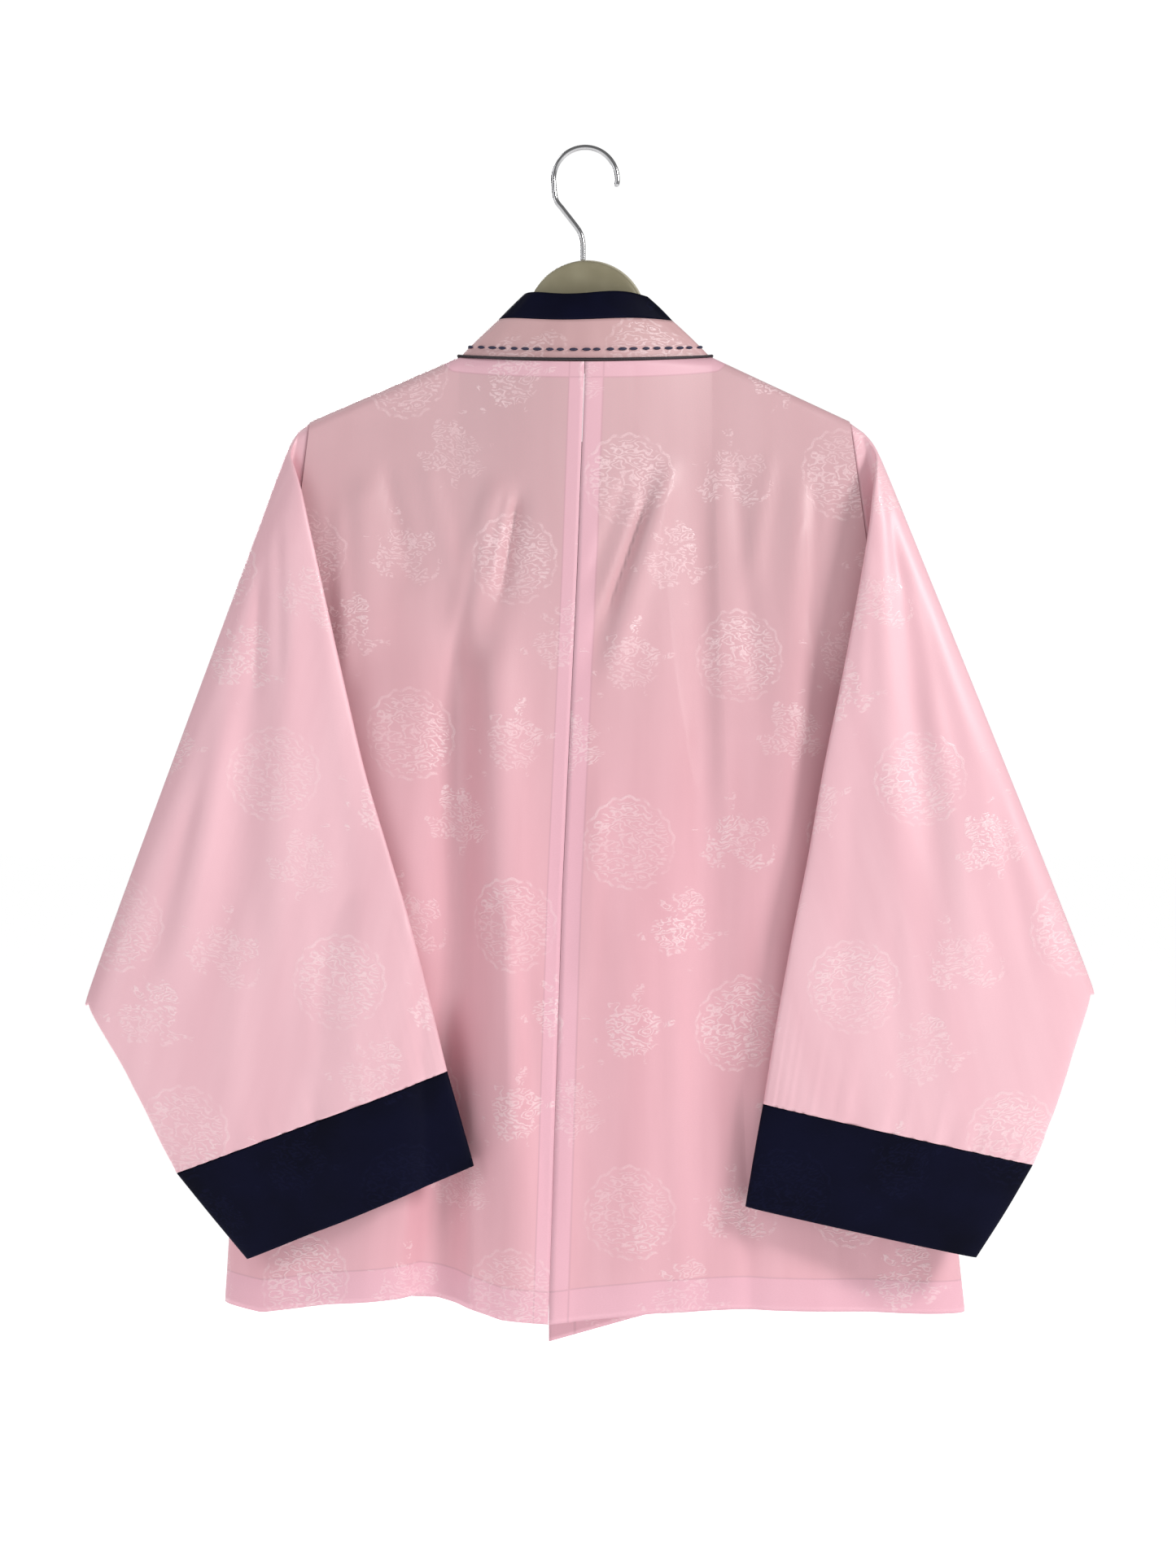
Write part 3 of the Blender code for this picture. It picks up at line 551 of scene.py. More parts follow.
body_brocade = brocade("body_brocade", PINK, PINK_SHADE, PINK_FLOAT_SHEEN, 0.0, 0.65)
sleeve_brocade = brocade("sleeve_brocade", SLEEVE_PINK, SLEEVE_SHADE, PINK_FLOAT_SHEEN)
collar_brocade = brocade("collar_brocade", COLLAR_PINK, COLLAR_SHADE, PINK_FLOAT_SHEEN, 0.093)
print("brocade nodes:", len(body_brocade.node_tree.nodes))

# %% [markdown]
# ## The navy satin
# The cuffs and the collar's edge are a close satin, nearly black, with the same kind of
# motifs just visible in it. Its threads lie across, so it is streaked one way.

# %% Navy satin
NAVY = (0.0028, 0.0032, 0.0150, 1)
NAVY_SHADE = (0.0016, 0.0018, 0.0075, 1)
NAVY_FLOAT_SHEEN = (0.0060, 0.0070, 0.0280, 1)


def navy_satin(name):
    """Fine cross streaks in the base colour and the bump, and the motifs painted a little
    lighter: painted sheen of their floating threads.
    """
    material, tree, shader = new_material(name)
    across, down = cloth_place(tree)
    motifs = woven_motifs(tree, across, down)
    grain = noise(tree, combine(tree, calc(tree, "MULTIPLY", across, 300.0),
                                calc(tree, "MULTIPLY", down, 1800.0)), 1.0, 2.0)
    slow = noise(tree, combine(tree, across, down), 14.0, 3.0)
    colour = mix(tree, band(tree, slow, 0.35, 0.70), NAVY, NAVY_SHADE)
    threads = calc(tree, "MULTIPLY", motifs, band(tree, grain, 0.30, 0.60))
    # Painted sheen: the motifs painted a little lighter than the ground.
    colour = mix(tree, calc(tree, "MULTIPLY", threads, 0.45), colour, NAVY_FLOAT_SHEEN)
    tree.links.new(colour, shader.inputs["Base Color"])
    rough = calc(tree, "ADD", 0.50, calc(tree, "MULTIPLY", grain, 0.16))
    tree.links.new(rough, shader.inputs["Roughness"])
    bump = tree.nodes.new("ShaderNodeBump")
    bump.inputs["Strength"].default_value = 0.25
    bump.inputs["Distance"].default_value = 0.0003
    tree.links.new(calc(tree, "ADD", grain, threads), bump.inputs["Height"])
    tree.links.new(bump.outputs[0], shader.inputs["Normal"])
    shader.inputs["Specular IOR Level"].default_value = 0.06
    return material


navy = navy_satin("navy_satin")
print("navy nodes:", len(navy.node_tree.nodes))

# %% [markdown]
# ## The four panels
# Two backs meet at the centre seam and two fronts lap over each other. A panel's columns run
# from its inner edge to the side and its rows from the top down to the hem. The first rows go
# round the shoulder's ridge in equal angles, so the turn stays round. The left front is lifted
# by the lap where it crosses the right one.

# %% Panel grid
PANEL_ROWS, RIDGE_ROWS, PANEL_COLUMNS = 170, 8, 84
RIDGE_SHARE = 0.05
HEM_TURN = 0.024                # width of the turned-up hem


def back_top(x):
    """The back's upper edge: the ridge, dipping behind the neck as a parabola."""
    return ridge_z(x) - BACK_NECK_DROP * np.clip(1.0 - (x / NECK_HALF_WIDTH) ** 2, 0.0, 1.0)


def front_top(side):
    """A front's upper edge: the ridge, then the straight neckline down to the lap."""
    def top(x):
        inside = np.maximum(NECK_HALF_WIDTH - side * x, 0.0)
        return ridge_z(np.where(side * x > 0, x, 0.0)) - NECKLINE_SLOPE * inside
    return top


def lap_lift(x):
    return LAP * smooth((x + 0.085) / 0.045)


def hem_pucker(x, from_hem):
    """The hem's stitches pull the cloth in by a little, every 14 mm or so, unevenly."""
    wave = np.sin(x * 2 * math.pi / 0.0142 + 1.7 * np.sin(x * 23.0))
    return -0.00022 * (1 + wave) * np.exp(-((from_hem - HEM_TURN) / 0.004) ** 2)


def panel_points(face, inner_edge, top_z, hem_rows, side, lift=None):
    """Points of a panel, with their distances from the inner edge, the hem and the neck."""
    neck_share = (side * NECK_HALF_WIDTH - inner_edge(TIP_Z)) / (
        side_x(TIP_Z, side) - inner_edge(TIP_Z))
    near = neck_share * (1.0 - np.linspace(1.0, 0.0, PANEL_COLUMNS // 2 + 1) ** 1.35)
    turn = np.linspace(0.0, math.pi / 2, PANEL_COLUMNS // 2 + 1)[1:]
    column = np.concatenate([near, neck_share + (1.0 - neck_share) * np.sin(turn)])[None, :]
    row = np.concatenate([np.linspace(0.0, RIDGE_SHARE, RIDGE_ROWS + 1),
                          np.linspace(RIDGE_SHARE, 1.0, PANEL_ROWS + 1)[1:]])[:, None]

    def across(z):
        return inner_edge(z) + column * (side_x(z, side) - inner_edge(z))

    high = np.full_like(column, TIP_Z)
    for _ in range(5):
        high = top_z(across(high))
    rolled = RIDGE_RADIUS * (1.0 - np.cos(np.minimum(row / RIDGE_SHARE, 1.0) * math.pi / 2))
    low = along_table(hem_rows, across(HEM_Z))
    share = np.clip((row - RIDGE_SHARE) / (1.0 - RIDGE_SHARE), 0.0, 1.0)
    z = high - rolled - share * (high - RIDGE_RADIUS - low)
    x = across(z)
    from_hem = z - low
    y = body_y(x, z, face, fine=True) + face * hem_pucker(x, from_hem)
    if lift is not None:
        y = y + lift(x)
    points = np.stack(np.broadcast_arrays(x, y, z), axis=-1)
    from_seam = np.abs(x - inner_edge(z))
    if face > 0:
        from_neck = np.abs((z - top_z(x)) / math.hypot(1.0, NECKLINE_SLOPE))
    else:
        from_neck = np.abs(top_z(np.clip(x, -NECK_HALF_WIDTH, NECK_HALF_WIDTH)) - z)
    past = np.maximum(side * x - NECK_HALF_WIDTH, 0.0)
    return points, from_seam, from_hem, np.hypot(from_neck, past)


# %% Panels
def make_panel(name, face, inner_edge, top_z, hem_rows, side, seam_width, motif_at,
               lift=None):
    """Builds one panel. seam_width scales the distance from the seam, so that an allowance
    wider than the finish's 12.5 mm can show, and motif_at is where a medallion sits."""
    points, from_seam, from_hem, from_neck = panel_points(face, inner_edge, top_z, hem_rows,
                                                          side, lift)
    cloth_across = points[:, :1, 0] + side * run_length(points, 1) - motif_at[0]
    cloth_down = run_length(points, 0) - points[:1, :, 2] - motif_at[1]
    cloth_uv = np.stack([cloth_across, cloth_down], axis=-1)
    mesh = cloth_mesh(name, points, cloth_uv, {
        "from_seam": from_seam * 0.0125 / seam_width, "from_hem": from_hem,
        "from_neck": from_neck})
    outward = (side < 0) == (face < 0)
    if outward:
        mesh.flip_normals()
    thing = add_cloth(name, mesh, body_brocade, name.replace("_cloth", ""), -1)
    return thing


def straight(x):
    return lambda z: x + 0.0 * np.asarray(z)


GAP = SEAM_GAP / 2
make_panel("back_left_cloth", -1, lambda z: seam_x(z) - GAP, back_top, BACK_HEM, -1, 0.0110,
           (-0.053, 0.310))
make_panel("back_right_cloth", -1, lambda z: seam_x(z) + GAP, back_top, BACK_HEM, 1, 0.0140,
           (0.035, 0.251))
make_panel("front_left_cloth", 1, straight(LEFT_FRONT_EDGE), front_top(-1), LEFT_FRONT_HEM, -1,
           0.020, (-0.060, 0.330), lap_lift)
make_panel("front_right_cloth", 1, straight(RIGHT_FRONT_EDGE), front_top(1), RIGHT_FRONT_HEM, 1,
           0.020, (0.110, 0.330))

# %% [markdown]
# ## The sleeves
# A sleeve is one flat tube. It leaves the armhole sideways, folds over along its outer line
# and hangs down over the back, so its flat section is turned by half a turn on the way. The
# table gives that section at a few stations, and a smooth curve through them gives the rest.

# %% Sleeve tables
# x, z and y of the upper end, x, z and y of the lower end, half depth, turn in degrees
LEFT_SLEEVE = (
    (-211, -208, 0, -244, -453, 0, 15, 0),
    (-216, -213, -3, -274, -496, -3, 11, 14),
    (-219, -221, -9, -324, -562, -10, 7, 42),
    (-220, -231, -17, -367.5, -634, -20, 3.5, 90),
    (-216, -242, -25, -367, -641, -30, 4.5, 135),
    (-210, -260, -31, -360, -654, -35, 6.5, 165),
    (-203, -290, -34, -342, -684, -37, 8.5, 180),
    (-191, -343, -37, -333, -701, -38, 9, 180),
    (-177, -405, -39, -325, -716, -39, 9, 180),
    (-162, -468, -41, -318, -730, -40, 9, 180),
    (-145, -525, -43, -312, -742, -41, 9, 180),
    (-130, -575, -44, -307, -751, -42, 9, 180),
    (-115, -632, -45, -303, -758, -43, 9, 180),
    (-101.4, -687.6, -46, -300.6, -762.6, -44, 9, 180),
)
LEFT_CUFF = (
    (-101.3, -688, -46, -300.3, -763, -44, 9, 180),
    (-91.5, -722, -47, -275, -794, -45, 9, 180),
    (-81.6, -756.6, -48, -248.4, -825.6, -46, 9, 180),
)
RIGHT_SLEEVE = (
    (203, -208, 0, 240, -453, 0, 15, 0),
    (209, -213, -3, 268, -496, -3, 11, 14),
    (214, -221, -9, 325, -560, -10, 7, 42),
    (217, -231, -17, 374, -626, -20, 3.5, 90),
    (216, -243, -25, 373.5, -634, -30, 4.5, 135),
    (213, -262, -31, 369, -648, -35, 6.5, 165),
    (209, -292, -34, 361, -672, -37, 8.5, 180),
    (200, -343, -37, 356, -688, -38, 9, 180),
    (188, -405, -39, 351, -703, -39, 9, 180),
    (175, -468, -41, 346, -717, -40, 9, 180),
    (164, -530, -43, 341, -729, -41, 9, 180),
    (152, -590, -44, 337, -740, -42, 9, 180),
    (141, -650, -45, 333, -749, -43, 9, 180),
    (130.8, -711.6, -46, 329.4, -756.6, -44, 9, 180),
)
RIGHT_CUFF = (
    (130.7, -712, -46, 329.1, -757, -44, 9, 180),
    (124, -749, -47, 309, -791, -45, 9, 180),
    (117.6, -786.6, -48, 287.4, -824.4, -46, 9, 180),
)
LEFT_SLEEVE_FOLDS = (
    (-235, -300, -262, -600, 8, 20, -5),
    (-215, -330, -225, -640, 9, 18, 3),
    (-262, -420, -300, -620, 8, 14, 3),
    (-226, -285, -224, -400, 4, 5, -2.2),
    (-240, -318, -243, -410, 3, 4, -1.8),
    (-196, -340, -168, -520, 5, 9, 1.4),
    (-285, -480, -322, -620, 6, 9, -1.8),
    (-180, -470, -170, -660, 7, 12, -1.2),
    (-250, -560, -262, -730, 7, 12, 1.3),
    (-205, -560, -200, -720, 6, 10, 1.2),
)
RIGHT_SLEEVE_FOLDS = (
    (228, -280, 262, -560, 7, 18, -5),
    (215, -300, 235, -640, 8, 20, 3),
    (250, -400, 290, -640, 8, 16, 3),
    (222, -255, 232, -330, 3.5, 5, -2.4),
    (210, -300, 200, -430, 4, 6, 1.6),
    (245, -330, 278, -470, 5, 8, -1.6),
    (300, -470, 330, -620, 6, 9, -1.8),
    (196, -470, 190, -660, 7, 12, -1.2),
    (262, -580, 272, -730, 7, 12, 1.3),
    (225, -560, 230, -720, 6, 10, -1.2),
)
SLEEVE_ROWS, CUFF_ROWS, RING_POINTS = 150, 26, 128
SLEEVE_REST = 0.0022


# %% Sleeve shape
def through(table, count, curved=True):
    """Rows of numbers on a smooth curve through the table's rows: Catmull and Rom's cubic,
    whose slope at a row is half the step between its neighbours."""
    rows = np.array(table, float)
    at = np.linspace(0, len(rows) - 1, count)
    start = np.minimum(at.astype(int), len(rows) - 2)
    t = (at - start)[:, None]
    if not curved:
        return rows[start] * (1 - t) + rows[start + 1] * t
    before = rows[np.maximum(start - 1, 0)]
    first, second = rows[start], rows[start + 1]
    after = rows[np.minimum(start + 2, len(rows) - 1)]
    return 0.5 * (2 * first + (second - before) * t
                  + (2 * before - 5 * first + 4 * second - after) * t ** 2
                  + (3 * first - before - 3 * second + after) * t ** 3)


def ring_shape():
    """Along and across shares of a flat loop with round ends: a squared-off ellipse."""
    angle = 2.0 * math.pi * np.arange(RING_POINTS) / RING_POINTS
    return np.cos(angle), np.sign(np.sin(angle)) * np.abs(np.sin(angle)) ** 0.55


def clear_of_back(x, z, half):
    """The highest y at which a sleeve of this half depth still clears the back's folds."""
    inside = (x > side_x(z, -1) - 0.004) & (x < side_x(z, 1) + 0.004)
    surface = np.full(np.shape(x), 1.0)
    for across in (-0.014, -0.007, 0.0, 0.007, 0.014):
        for up in (-0.020, 0.0, 0.020):
            here = body_y(x + across, np.minimum(z + up, TIP_Z), -1, fine=True)
            surface = np.minimum(surface, here)
    return np.where(inside & (z < TIP_Z), surface - half - SLEEVE_REST, 1.0)


def sleeve_rings(sections, side, folds, gather=0.0):
    """Loops of points for the sections: each is a flat loop between its two ends, moved
    across by its half depth and turned. gather adds small pleats that grow towards the end."""
    along, across = ring_shape()
    values = sections[:, :7, None] * MM
    x_up, z_up, y_up, x_low, z_low, y_low, half = (values[:, i] for i in range(7))
    turn = np.radians(sections[:, 7])[:, None]
    share = 0.5 - 0.5 * along[None, :]
    x = x_up + (x_low - x_up) * share
    z = z_up + (z_low - z_up) * share
    y = y_up + (y_low - y_up) * share
    depth = half * np.abs(across)
    hanging = smooth((turn - 1.75) / 0.5)
    rest = np.minimum(y, clear_of_back(x, z, np.maximum(depth, 0.6 * half)))
    y = y + (rest - y) * hanging
    offset = across * half + 0.0 * x
    offset = offset + hanging * fold_height(x, z, folds) * np.where(across > 0, across, 0.0)
    if gather:
        row = np.linspace(0.0, 1.0, len(sections))[:, None]
        pleats = np.sin(share * 190.0 + 3.0 * np.sin(share * 17.0))
        ends = smooth(share / 0.08) * smooth((1 - share) / 0.08)
        offset = offset + gather * pleats * ends * smooth((row - 0.86) / 0.14) * np.sign(across)
    x = x + side * np.sin(turn) * offset
    y = y + np.cos(turn) * offset
    return np.stack([x, y, z], axis=-1)


def armhole_ring(side):
    """The first loop follows the armhole from the shoulder to the underarm."""
    along, across = ring_shape()
    top, low = TIP_Z - 0.0004, UNDERARM_Z + 0.0030
    z = top + (low - top) * (1.0 - along) / 2
    below = np.clip((TIP_Z - z) / RIDGE_RADIUS, 0.0, 1.0)
    ridge = np.sqrt(1.0 - (1.0 - below) ** 2)
    y = np.sign(across) * armhole_depth(np.minimum(z, TIP_Z)) * ridge
    return np.stack([side_x(z, side) + side * SEAM_GAP, y, z], axis=-1)


# %% Sleeves and cuffs
SLEEVE_SLANT = 14.0             # degrees that the cloth's length leans out from upright
LEFT_MOTIF, RIGHT_MOTIF = (-0.178, -0.622), (0.199, -0.625)


def make_tube(name, rings, material, node, side, from_end):
    """A sleeve or a cuff from its loops. Its cloth hangs flat, so a place on the cloth is the
    point's x and z, turned by the sleeve's slant about the centre of one medallion."""
    closed_rings = np.concatenate([rings, rings[:, :1]], axis=1)
    slant = side * math.radians(SLEEVE_SLANT)
    centre = LEFT_MOTIF if side < 0 else RIGHT_MOTIF
    x, z = closed_rings[..., 0] - centre[0], closed_rings[..., 2] - centre[1]
    cloth_uv = np.stack([x * math.cos(slant) + z * math.sin(slant),
                         x * math.sin(slant) - z * math.cos(slant)], axis=-1)
    mesh = cloth_mesh(name, rings, cloth_uv, {
        "from_seam": FAR, "from_hem": from_end, "from_neck": FAR}, closed=True)
    if side > 0:
        mesh.flip_normals()
    thing = add_cloth(name, mesh, material, node, -1)
    return thing


def make_sleeve(side, sections, cuff, folds):
    word = "left" if side < 0 else "right"
    full = through(sections[1:], SLEEVE_ROWS)
    first = through(sections[:2], 6, curved=False)[:-1]
    rings = sleeve_rings(np.concatenate([first, full]), side, folds, gather=0.0009)
    hole = armhole_ring(side)
    share = np.linspace(0.0, 1.0, 6)[:-1, None, None]
    rings[:5] = hole * (1 - share) + rings[5] * share
    make_tube(f"sleeve_{word}_cloth", rings, sleeve_brocade, f"sleeve_{word}",
              side, FAR)
    rings = sleeve_rings(through(cuff, CUFF_ROWS), side, folds)
    make_tube(f"cuff_{word}_cloth", rings, navy, f"cuff_{word}", side, FAR)


make_sleeve(-1, LEFT_SLEEVE, LEFT_CUFF, LEFT_SLEEVE_FOLDS)
make_sleeve(1, RIGHT_SLEEVE, RIGHT_CUFF, RIGHT_SLEEVE_FOLDS)

# %% [markdown]
# ## The collar
# The collar is a straight band that stands up behind the neck and lies flat down the fronts.
# It is a ruled surface: each column joins a point of the neck seam to a point of the free
# edge, and the two strips, pink and navy, are two shares of the same rule.

# %% Collar shape
COLLAR_WIDTH, BAND_START, EDGE_SHARE = 0.054, 0.022, 0.39
COLLAR_TOP_HALF, COLLAR_TOP_Z, COLLAR_TOP_DEPTH = 0.047, -0.1100, 0.018


def collar_back(turn):
    """Seam and top edge behind the neck, for a turn of -1 to 1: half an ellipse each."""
    angle = turn * math.pi / 2
    x = NECK_HALF_WIDTH * np.sin(angle)
    z = back_top(x)
    seam = np.stack([x, body_y(x, z, -1), z + SEAM_GAP], axis=-1)
    top_y = -COLLAR_TOP_DEPTH * np.cos(angle) ** 0.7
    top_z = COLLAR_TOP_Z - 0.0022 * np.cos(angle * 2.0 + 0.5) ** 2 + 0.0012
    return seam, np.stack([COLLAR_TOP_HALF * np.sin(angle), top_y, top_z], axis=-1)


def collar_front(share, side):
    """Seam and free edge down one front: parallel straight lines on the front's surface, and
    near the shoulder the free edge rises to meet the top edge from behind the neck."""
    run = math.hypot(1.0, NECKLINE_SLOPE)
    along = np.array([-side / run, -NECKLINE_SLOPE / run])
    toward_neck = np.array([-side * NECKLINE_SLOPE / run, 1.0 / run])
    edge_x = LEFT_FRONT_EDGE if side < 0 else RIGHT_FRONT_EDGE
    lift = lap_lift if side < 0 else (lambda x: 0.0 * x)
    seam_start = np.array([side * NECK_HALF_WIDTH, NECK_Z]) + toward_neck * SEAM_GAP
    lines = []
    for start in (seam_start, seam_start + toward_neck * COLLAR_WIDTH):
        length = (edge_x - start[0]) / along[0]
        x = start[0] + along[0] * length * share
        z = start[1] + along[1] * length * share
        y = body_y(x, np.minimum(z, NECK_Z - RIDGE_RADIUS), 1)
        lines.append(np.stack([x, y + lift(x), z], axis=-1))
    seam, free = lines
    seam[..., 1] = body_y(seam[..., 0], seam[..., 2], 1) + lift(seam[..., 0])
    shoulder = np.array([side * COLLAR_TOP_HALF, 0.0, COLLAR_TOP_Z])
    leave = smooth(share / 0.30)
    forward = np.sin(np.minimum(share / 0.12, 1.0) * math.pi / 2)
    return seam, shoulder + (free - shoulder) * np.stack([leave, forward, leave], axis=-1)


def collar_lines(around):
    """Seam and free edge for a position of -2 to 2: left front, back, right front."""
    around = np.asarray(around, float)
    seam, free = collar_back(np.clip(around, -1.0, 1.0))
    for side in (-1, 1):
        front_seam, front_free = collar_front(np.clip(side * around - 1.0, 0.0, 1.0), side)
        on_front = (side * around > 1.0)[..., None]
        seam = np.where(on_front, front_seam, seam)
        free = np.where(on_front, front_free, free)
    return seam, free


back_part = np.linspace(-1.0, 1.0, 121)
front_part = np.linspace(0.0, 1.0, 121)[1:] ** 1.15
AROUND = np.concatenate([-1.0 - front_part[::-1], back_part, 1.0 + front_part])


def collar_points(shares):
    """Points at some shares of the collar's width, one row for each share."""
    seam, free = collar_lines(AROUND)
    return seam[None] + (free - seam)[None] * np.asarray(shares)[:, None, None]


def outward_of(points):
    """Unit vectors square to the collar, away from the neck."""
    down = np.gradient(points, axis=0)
    along = np.gradient(points, axis=1)
    normal = np.cross(down, along)
    normal /= np.linalg.norm(normal, axis=2, keepdims=True)
    return normal * np.sign((normal * points * (0, 1, 0)).sum())


# %% Collar band and edge
def make_strip(name, low, high, rows, material, node):
    """A strip between two shares of the collar's width. Its cloth is padded by its folded
    edges, so it is a little fuller in the middle: 0.5 mm times a half sine wave."""
    shares = np.linspace(low, high, rows)
    points = collar_points(shares)
    full = np.sin(np.linspace(0.0, math.pi, rows))[:, None, None]
    ripple = 0.35 * np.sin(AROUND * 21.0 + 2.0 * np.sin(AROUND * 9.0))[None, :, None]
    points = points + outward_of(points) * full * (0.0004 + 0.0004 * ripple)
    width = (shares * COLLAR_WIDTH)[:, None]
    run = run_length(points, 1).mean(axis=0, keepdims=True)
    cloth_uv = np.stack([run + 0.0 * width, width + 0.0 * run], axis=-1)
    mesh = cloth_mesh(name, points, cloth_uv, {
        "from_seam": FAR, "from_hem": FAR, "from_neck": FAR})
    thing = add_cloth(name, mesh, material, node, -1)
    return thing, *cut_of(points)


BAND_END = 1.0 - EDGE_SHARE
band_cloth, band_flat, band_area = make_strip(
    "collar_band_cloth", BAND_START, BAND_END, 14, collar_brocade, "collar_band")
edge_cloth, edge_flat, edge_area = make_strip(
    "collar_edge_cloth", BAND_END + SEAM_GAP / COLLAR_WIDTH, 1.0, 10, navy, "collar_edge")
print("collar band", band_flat, "collar edge", edge_flat)

# %% [markdown]
# ## Piping and running stitch
# A dark cord is caught in the neck seam, and a row of dark stitches runs 8 mm above it, each
# about 5 mm long and 9 mm from the next. Both are small but draw the line of the neck, so
# they are real shapes: a rod carried along the seam, and one capsule repeated along the
# collar's own surface.

# %% Rods along a path
def rod(path, radius, sides=10, caps=True):
    """Rings round a path, square to it and without twist. radius is one number or one for
    each point of the path, and zero at the ends closes them."""
    ahead = np.gradient(path, axis=0)
    ahead /= np.linalg.norm(ahead, axis=1, keepdims=True)
    across = np.cross(ahead[0], (0.3, 1.0, 0.2))
    frames = []
    for forward in ahead:
        across = across - forward * np.dot(across, forward)
        across = across / np.linalg.norm(across)
        frames.append(across)
    frames = np.array(frames)
    up = np.cross(ahead, frames)
    angle = 2.0 * math.pi * np.arange(sides) / sides
    ring = (np.cos(angle)[None, :, None] * frames[:, None]
            + np.sin(angle)[None, :, None] * up[:, None])
    return path[:, None] + np.reshape(radius, (-1, 1, 1)) * ring


def rod_faces(rows, sides, start=0):
    """Quads between the rings, and one face that closes each end."""
    row, column = np.meshgrid(np.arange(rows - 1), np.arange(sides), indexing="ij")
    after = (column + 1) % sides
    quads = np.stack([row * sides + column, (row + 1) * sides + column,
                      (row + 1) * sides + after, row * sides + after], axis=-1)
    quads = (quads.reshape(-1, 4) + start).tolist()
    first = [start + i for i in range(sides)]
    last = [start + (rows - 1) * sides + i for i in range(sides - 1, -1, -1)]
    return quads + [first, last]


def add_solid(name, points, faces, material, node=None):
    mesh = bpy.data.meshes.new(name)
    mesh.from_pydata(points.reshape(-1, 3), [], faces)
    mesh.shade_smooth()
    mesh.set_sharp_from_angle(angle=math.radians(55))
    mesh.materials.append(material)
    thing = bpy.data.objects.new(name, mesh)
    bpy.context.scene.collection.objects.link(thing)
    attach(thing, "root")
    if node:
        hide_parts(node)
    return thing


def thread_finish(name, colour, pitch):
    """Twisted thread: fine slanting bands in the bump, from Object coordinates, with the same
    bands painted lighter on their crests as a painted highlight.
    """
    material, tree, shader = new_material(name)
    place = tree.nodes.new("ShaderNodeTexCoord")
    wave = tree.nodes.new("ShaderNodeTexWave")
    wave.bands_direction = "DIAGONAL"
    wave.inputs["Scale"].default_value = 1.0 / pitch
    wave.inputs["Distortion"].default_value = 1.5
    tree.links.new(place.outputs["Object"], wave.inputs["Vector"])
    bump = tree.nodes.new("ShaderNodeBump")
    bump.inputs["Strength"].default_value = 0.5
    bump.inputs["Distance"].default_value = 0.0002
    tree.links.new(wave.outputs["Fac"], bump.inputs["Height"])
    tree.links.new(bump.outputs[0], shader.inputs["Normal"])
    # Painted highlight: the crests of the twist's bands are painted lighter.
    light = tuple(min(1.0, value * 1.8) for value in colour[:3]) + (1,)
    tint = mix(tree, wave.outputs["Fac"], colour, light)
    tree.links.new(tint, shader.inputs["Base Color"])
    shader.inputs["Roughness"].default_value = 0.6
    return material


cord_thread = thread_finish("cord_thread", (0.012, 0.006, 0.010, 1), 0.004)
stitch_thread = thread_finish("stitch_thread", (0.012, 0.011, 0.035, 1), 0.0025)

# %% Piping
PIPING_RADIUS = 0.0010
seam_line, free_line = collar_lines(AROUND)
inward = free_line - seam_line
inward /= np.linalg.norm(inward, axis=1, keepdims=True)
out = np.cross(np.gradient(seam_line, axis=0), inward)
out /= np.linalg.norm(out, axis=1, keepdims=True)
piping_path = seam_line + out * (PIPING_RADIUS + 2 * SEAM_GAP) + inward * PIPING_RADIUS
piping = add_solid("piping_cord", rod(piping_path, PIPING_RADIUS),
                   rod_faces(len(AROUND), 10), cord_thread, "collar_piping")
print("piping length in mm:", round(float(run_length(piping_path[:, None], 0)[-1, 0]) / MM))

# %% Running stitch
STITCH_SHARE = 0.165            # of the collar's width, counted from the seam
STITCH_LENGTH, STITCH_PITCH, STITCH_RADIUS = 0.0060, 0.0091, 0.00115


def at_distance(line, distance):
    """Points of a line at distances along it, straight between its points."""
    run = run_length(line[:, None], 0)[:, 0]
    return np.stack([np.interp(distance, run, line[:, i]) for i in range(3)], axis=-1)


stitch_rows = collar_points([STITCH_SHARE - 0.02, STITCH_SHARE, STITCH_SHARE + 0.02])
stitch_line = (stitch_rows + outward_of(stitch_rows) * 0.0009)[1]
stitch_run = float(run_length(stitch_line[:, None], 0)[-1, 0])
starts = np.arange(0.004, stitch_run - STITCH_LENGTH - 0.002, STITCH_PITCH)
starts = starts + 0.0006 * np.sin(np.arange(len(starts)) * 2.3)
stitch_points, stitch_faces = [], []
bulge = np.sqrt(1.0 - np.linspace(-0.97, 0.97, 9) ** 2)
for index, start in enumerate(starts):
    length = STITCH_LENGTH * (1.0 + 0.10 * math.sin(index * 1.7))
    path = at_distance(stitch_line, start + np.linspace(0.0, length, 9))
    stitch_faces += rod_faces(9, 8, len(stitch_points) * 72)
    stitch_points.append(rod(path, STITCH_RADIUS * bulge, 8).reshape(-1, 3))
stitches = add_solid("running_stitch", np.concatenate(stitch_points), stitch_faces,
                     stitch_thread)
print("stitches:", len(starts))

# %% [markdown]
# ## The hanger
# A moulded plastic hanger carries the shoulders. Only its hump shows, above the collar, with
# the edge of its second plate just behind. Its outline is two functions of x, the upper and
# the lower edge, and its section is a flat oval, so it is a tube carried from tip to tip.

# %% Hanger shape
COLLAR_FALL = (NECK_Z - COLLAR_TOP_Z) / (NECK_HALF_WIDTH - COLLAR_TOP_HALF)
HUMP_TOP_Z, HUMP_RADIUS, HUMP_HALF_WIDTH = -0.0834, 0.044, 0.041
HANGER_TIP, HANGER_LOW_Z, HANGER_LOW_FALL = 0.190, -0.168, 0.062
NECK_ARM_HALF, NECK_ARM_DROP, HANGER_ROOM, CAD_CLOTH = 0.0038, 0.011, 0.0004, 0.0015


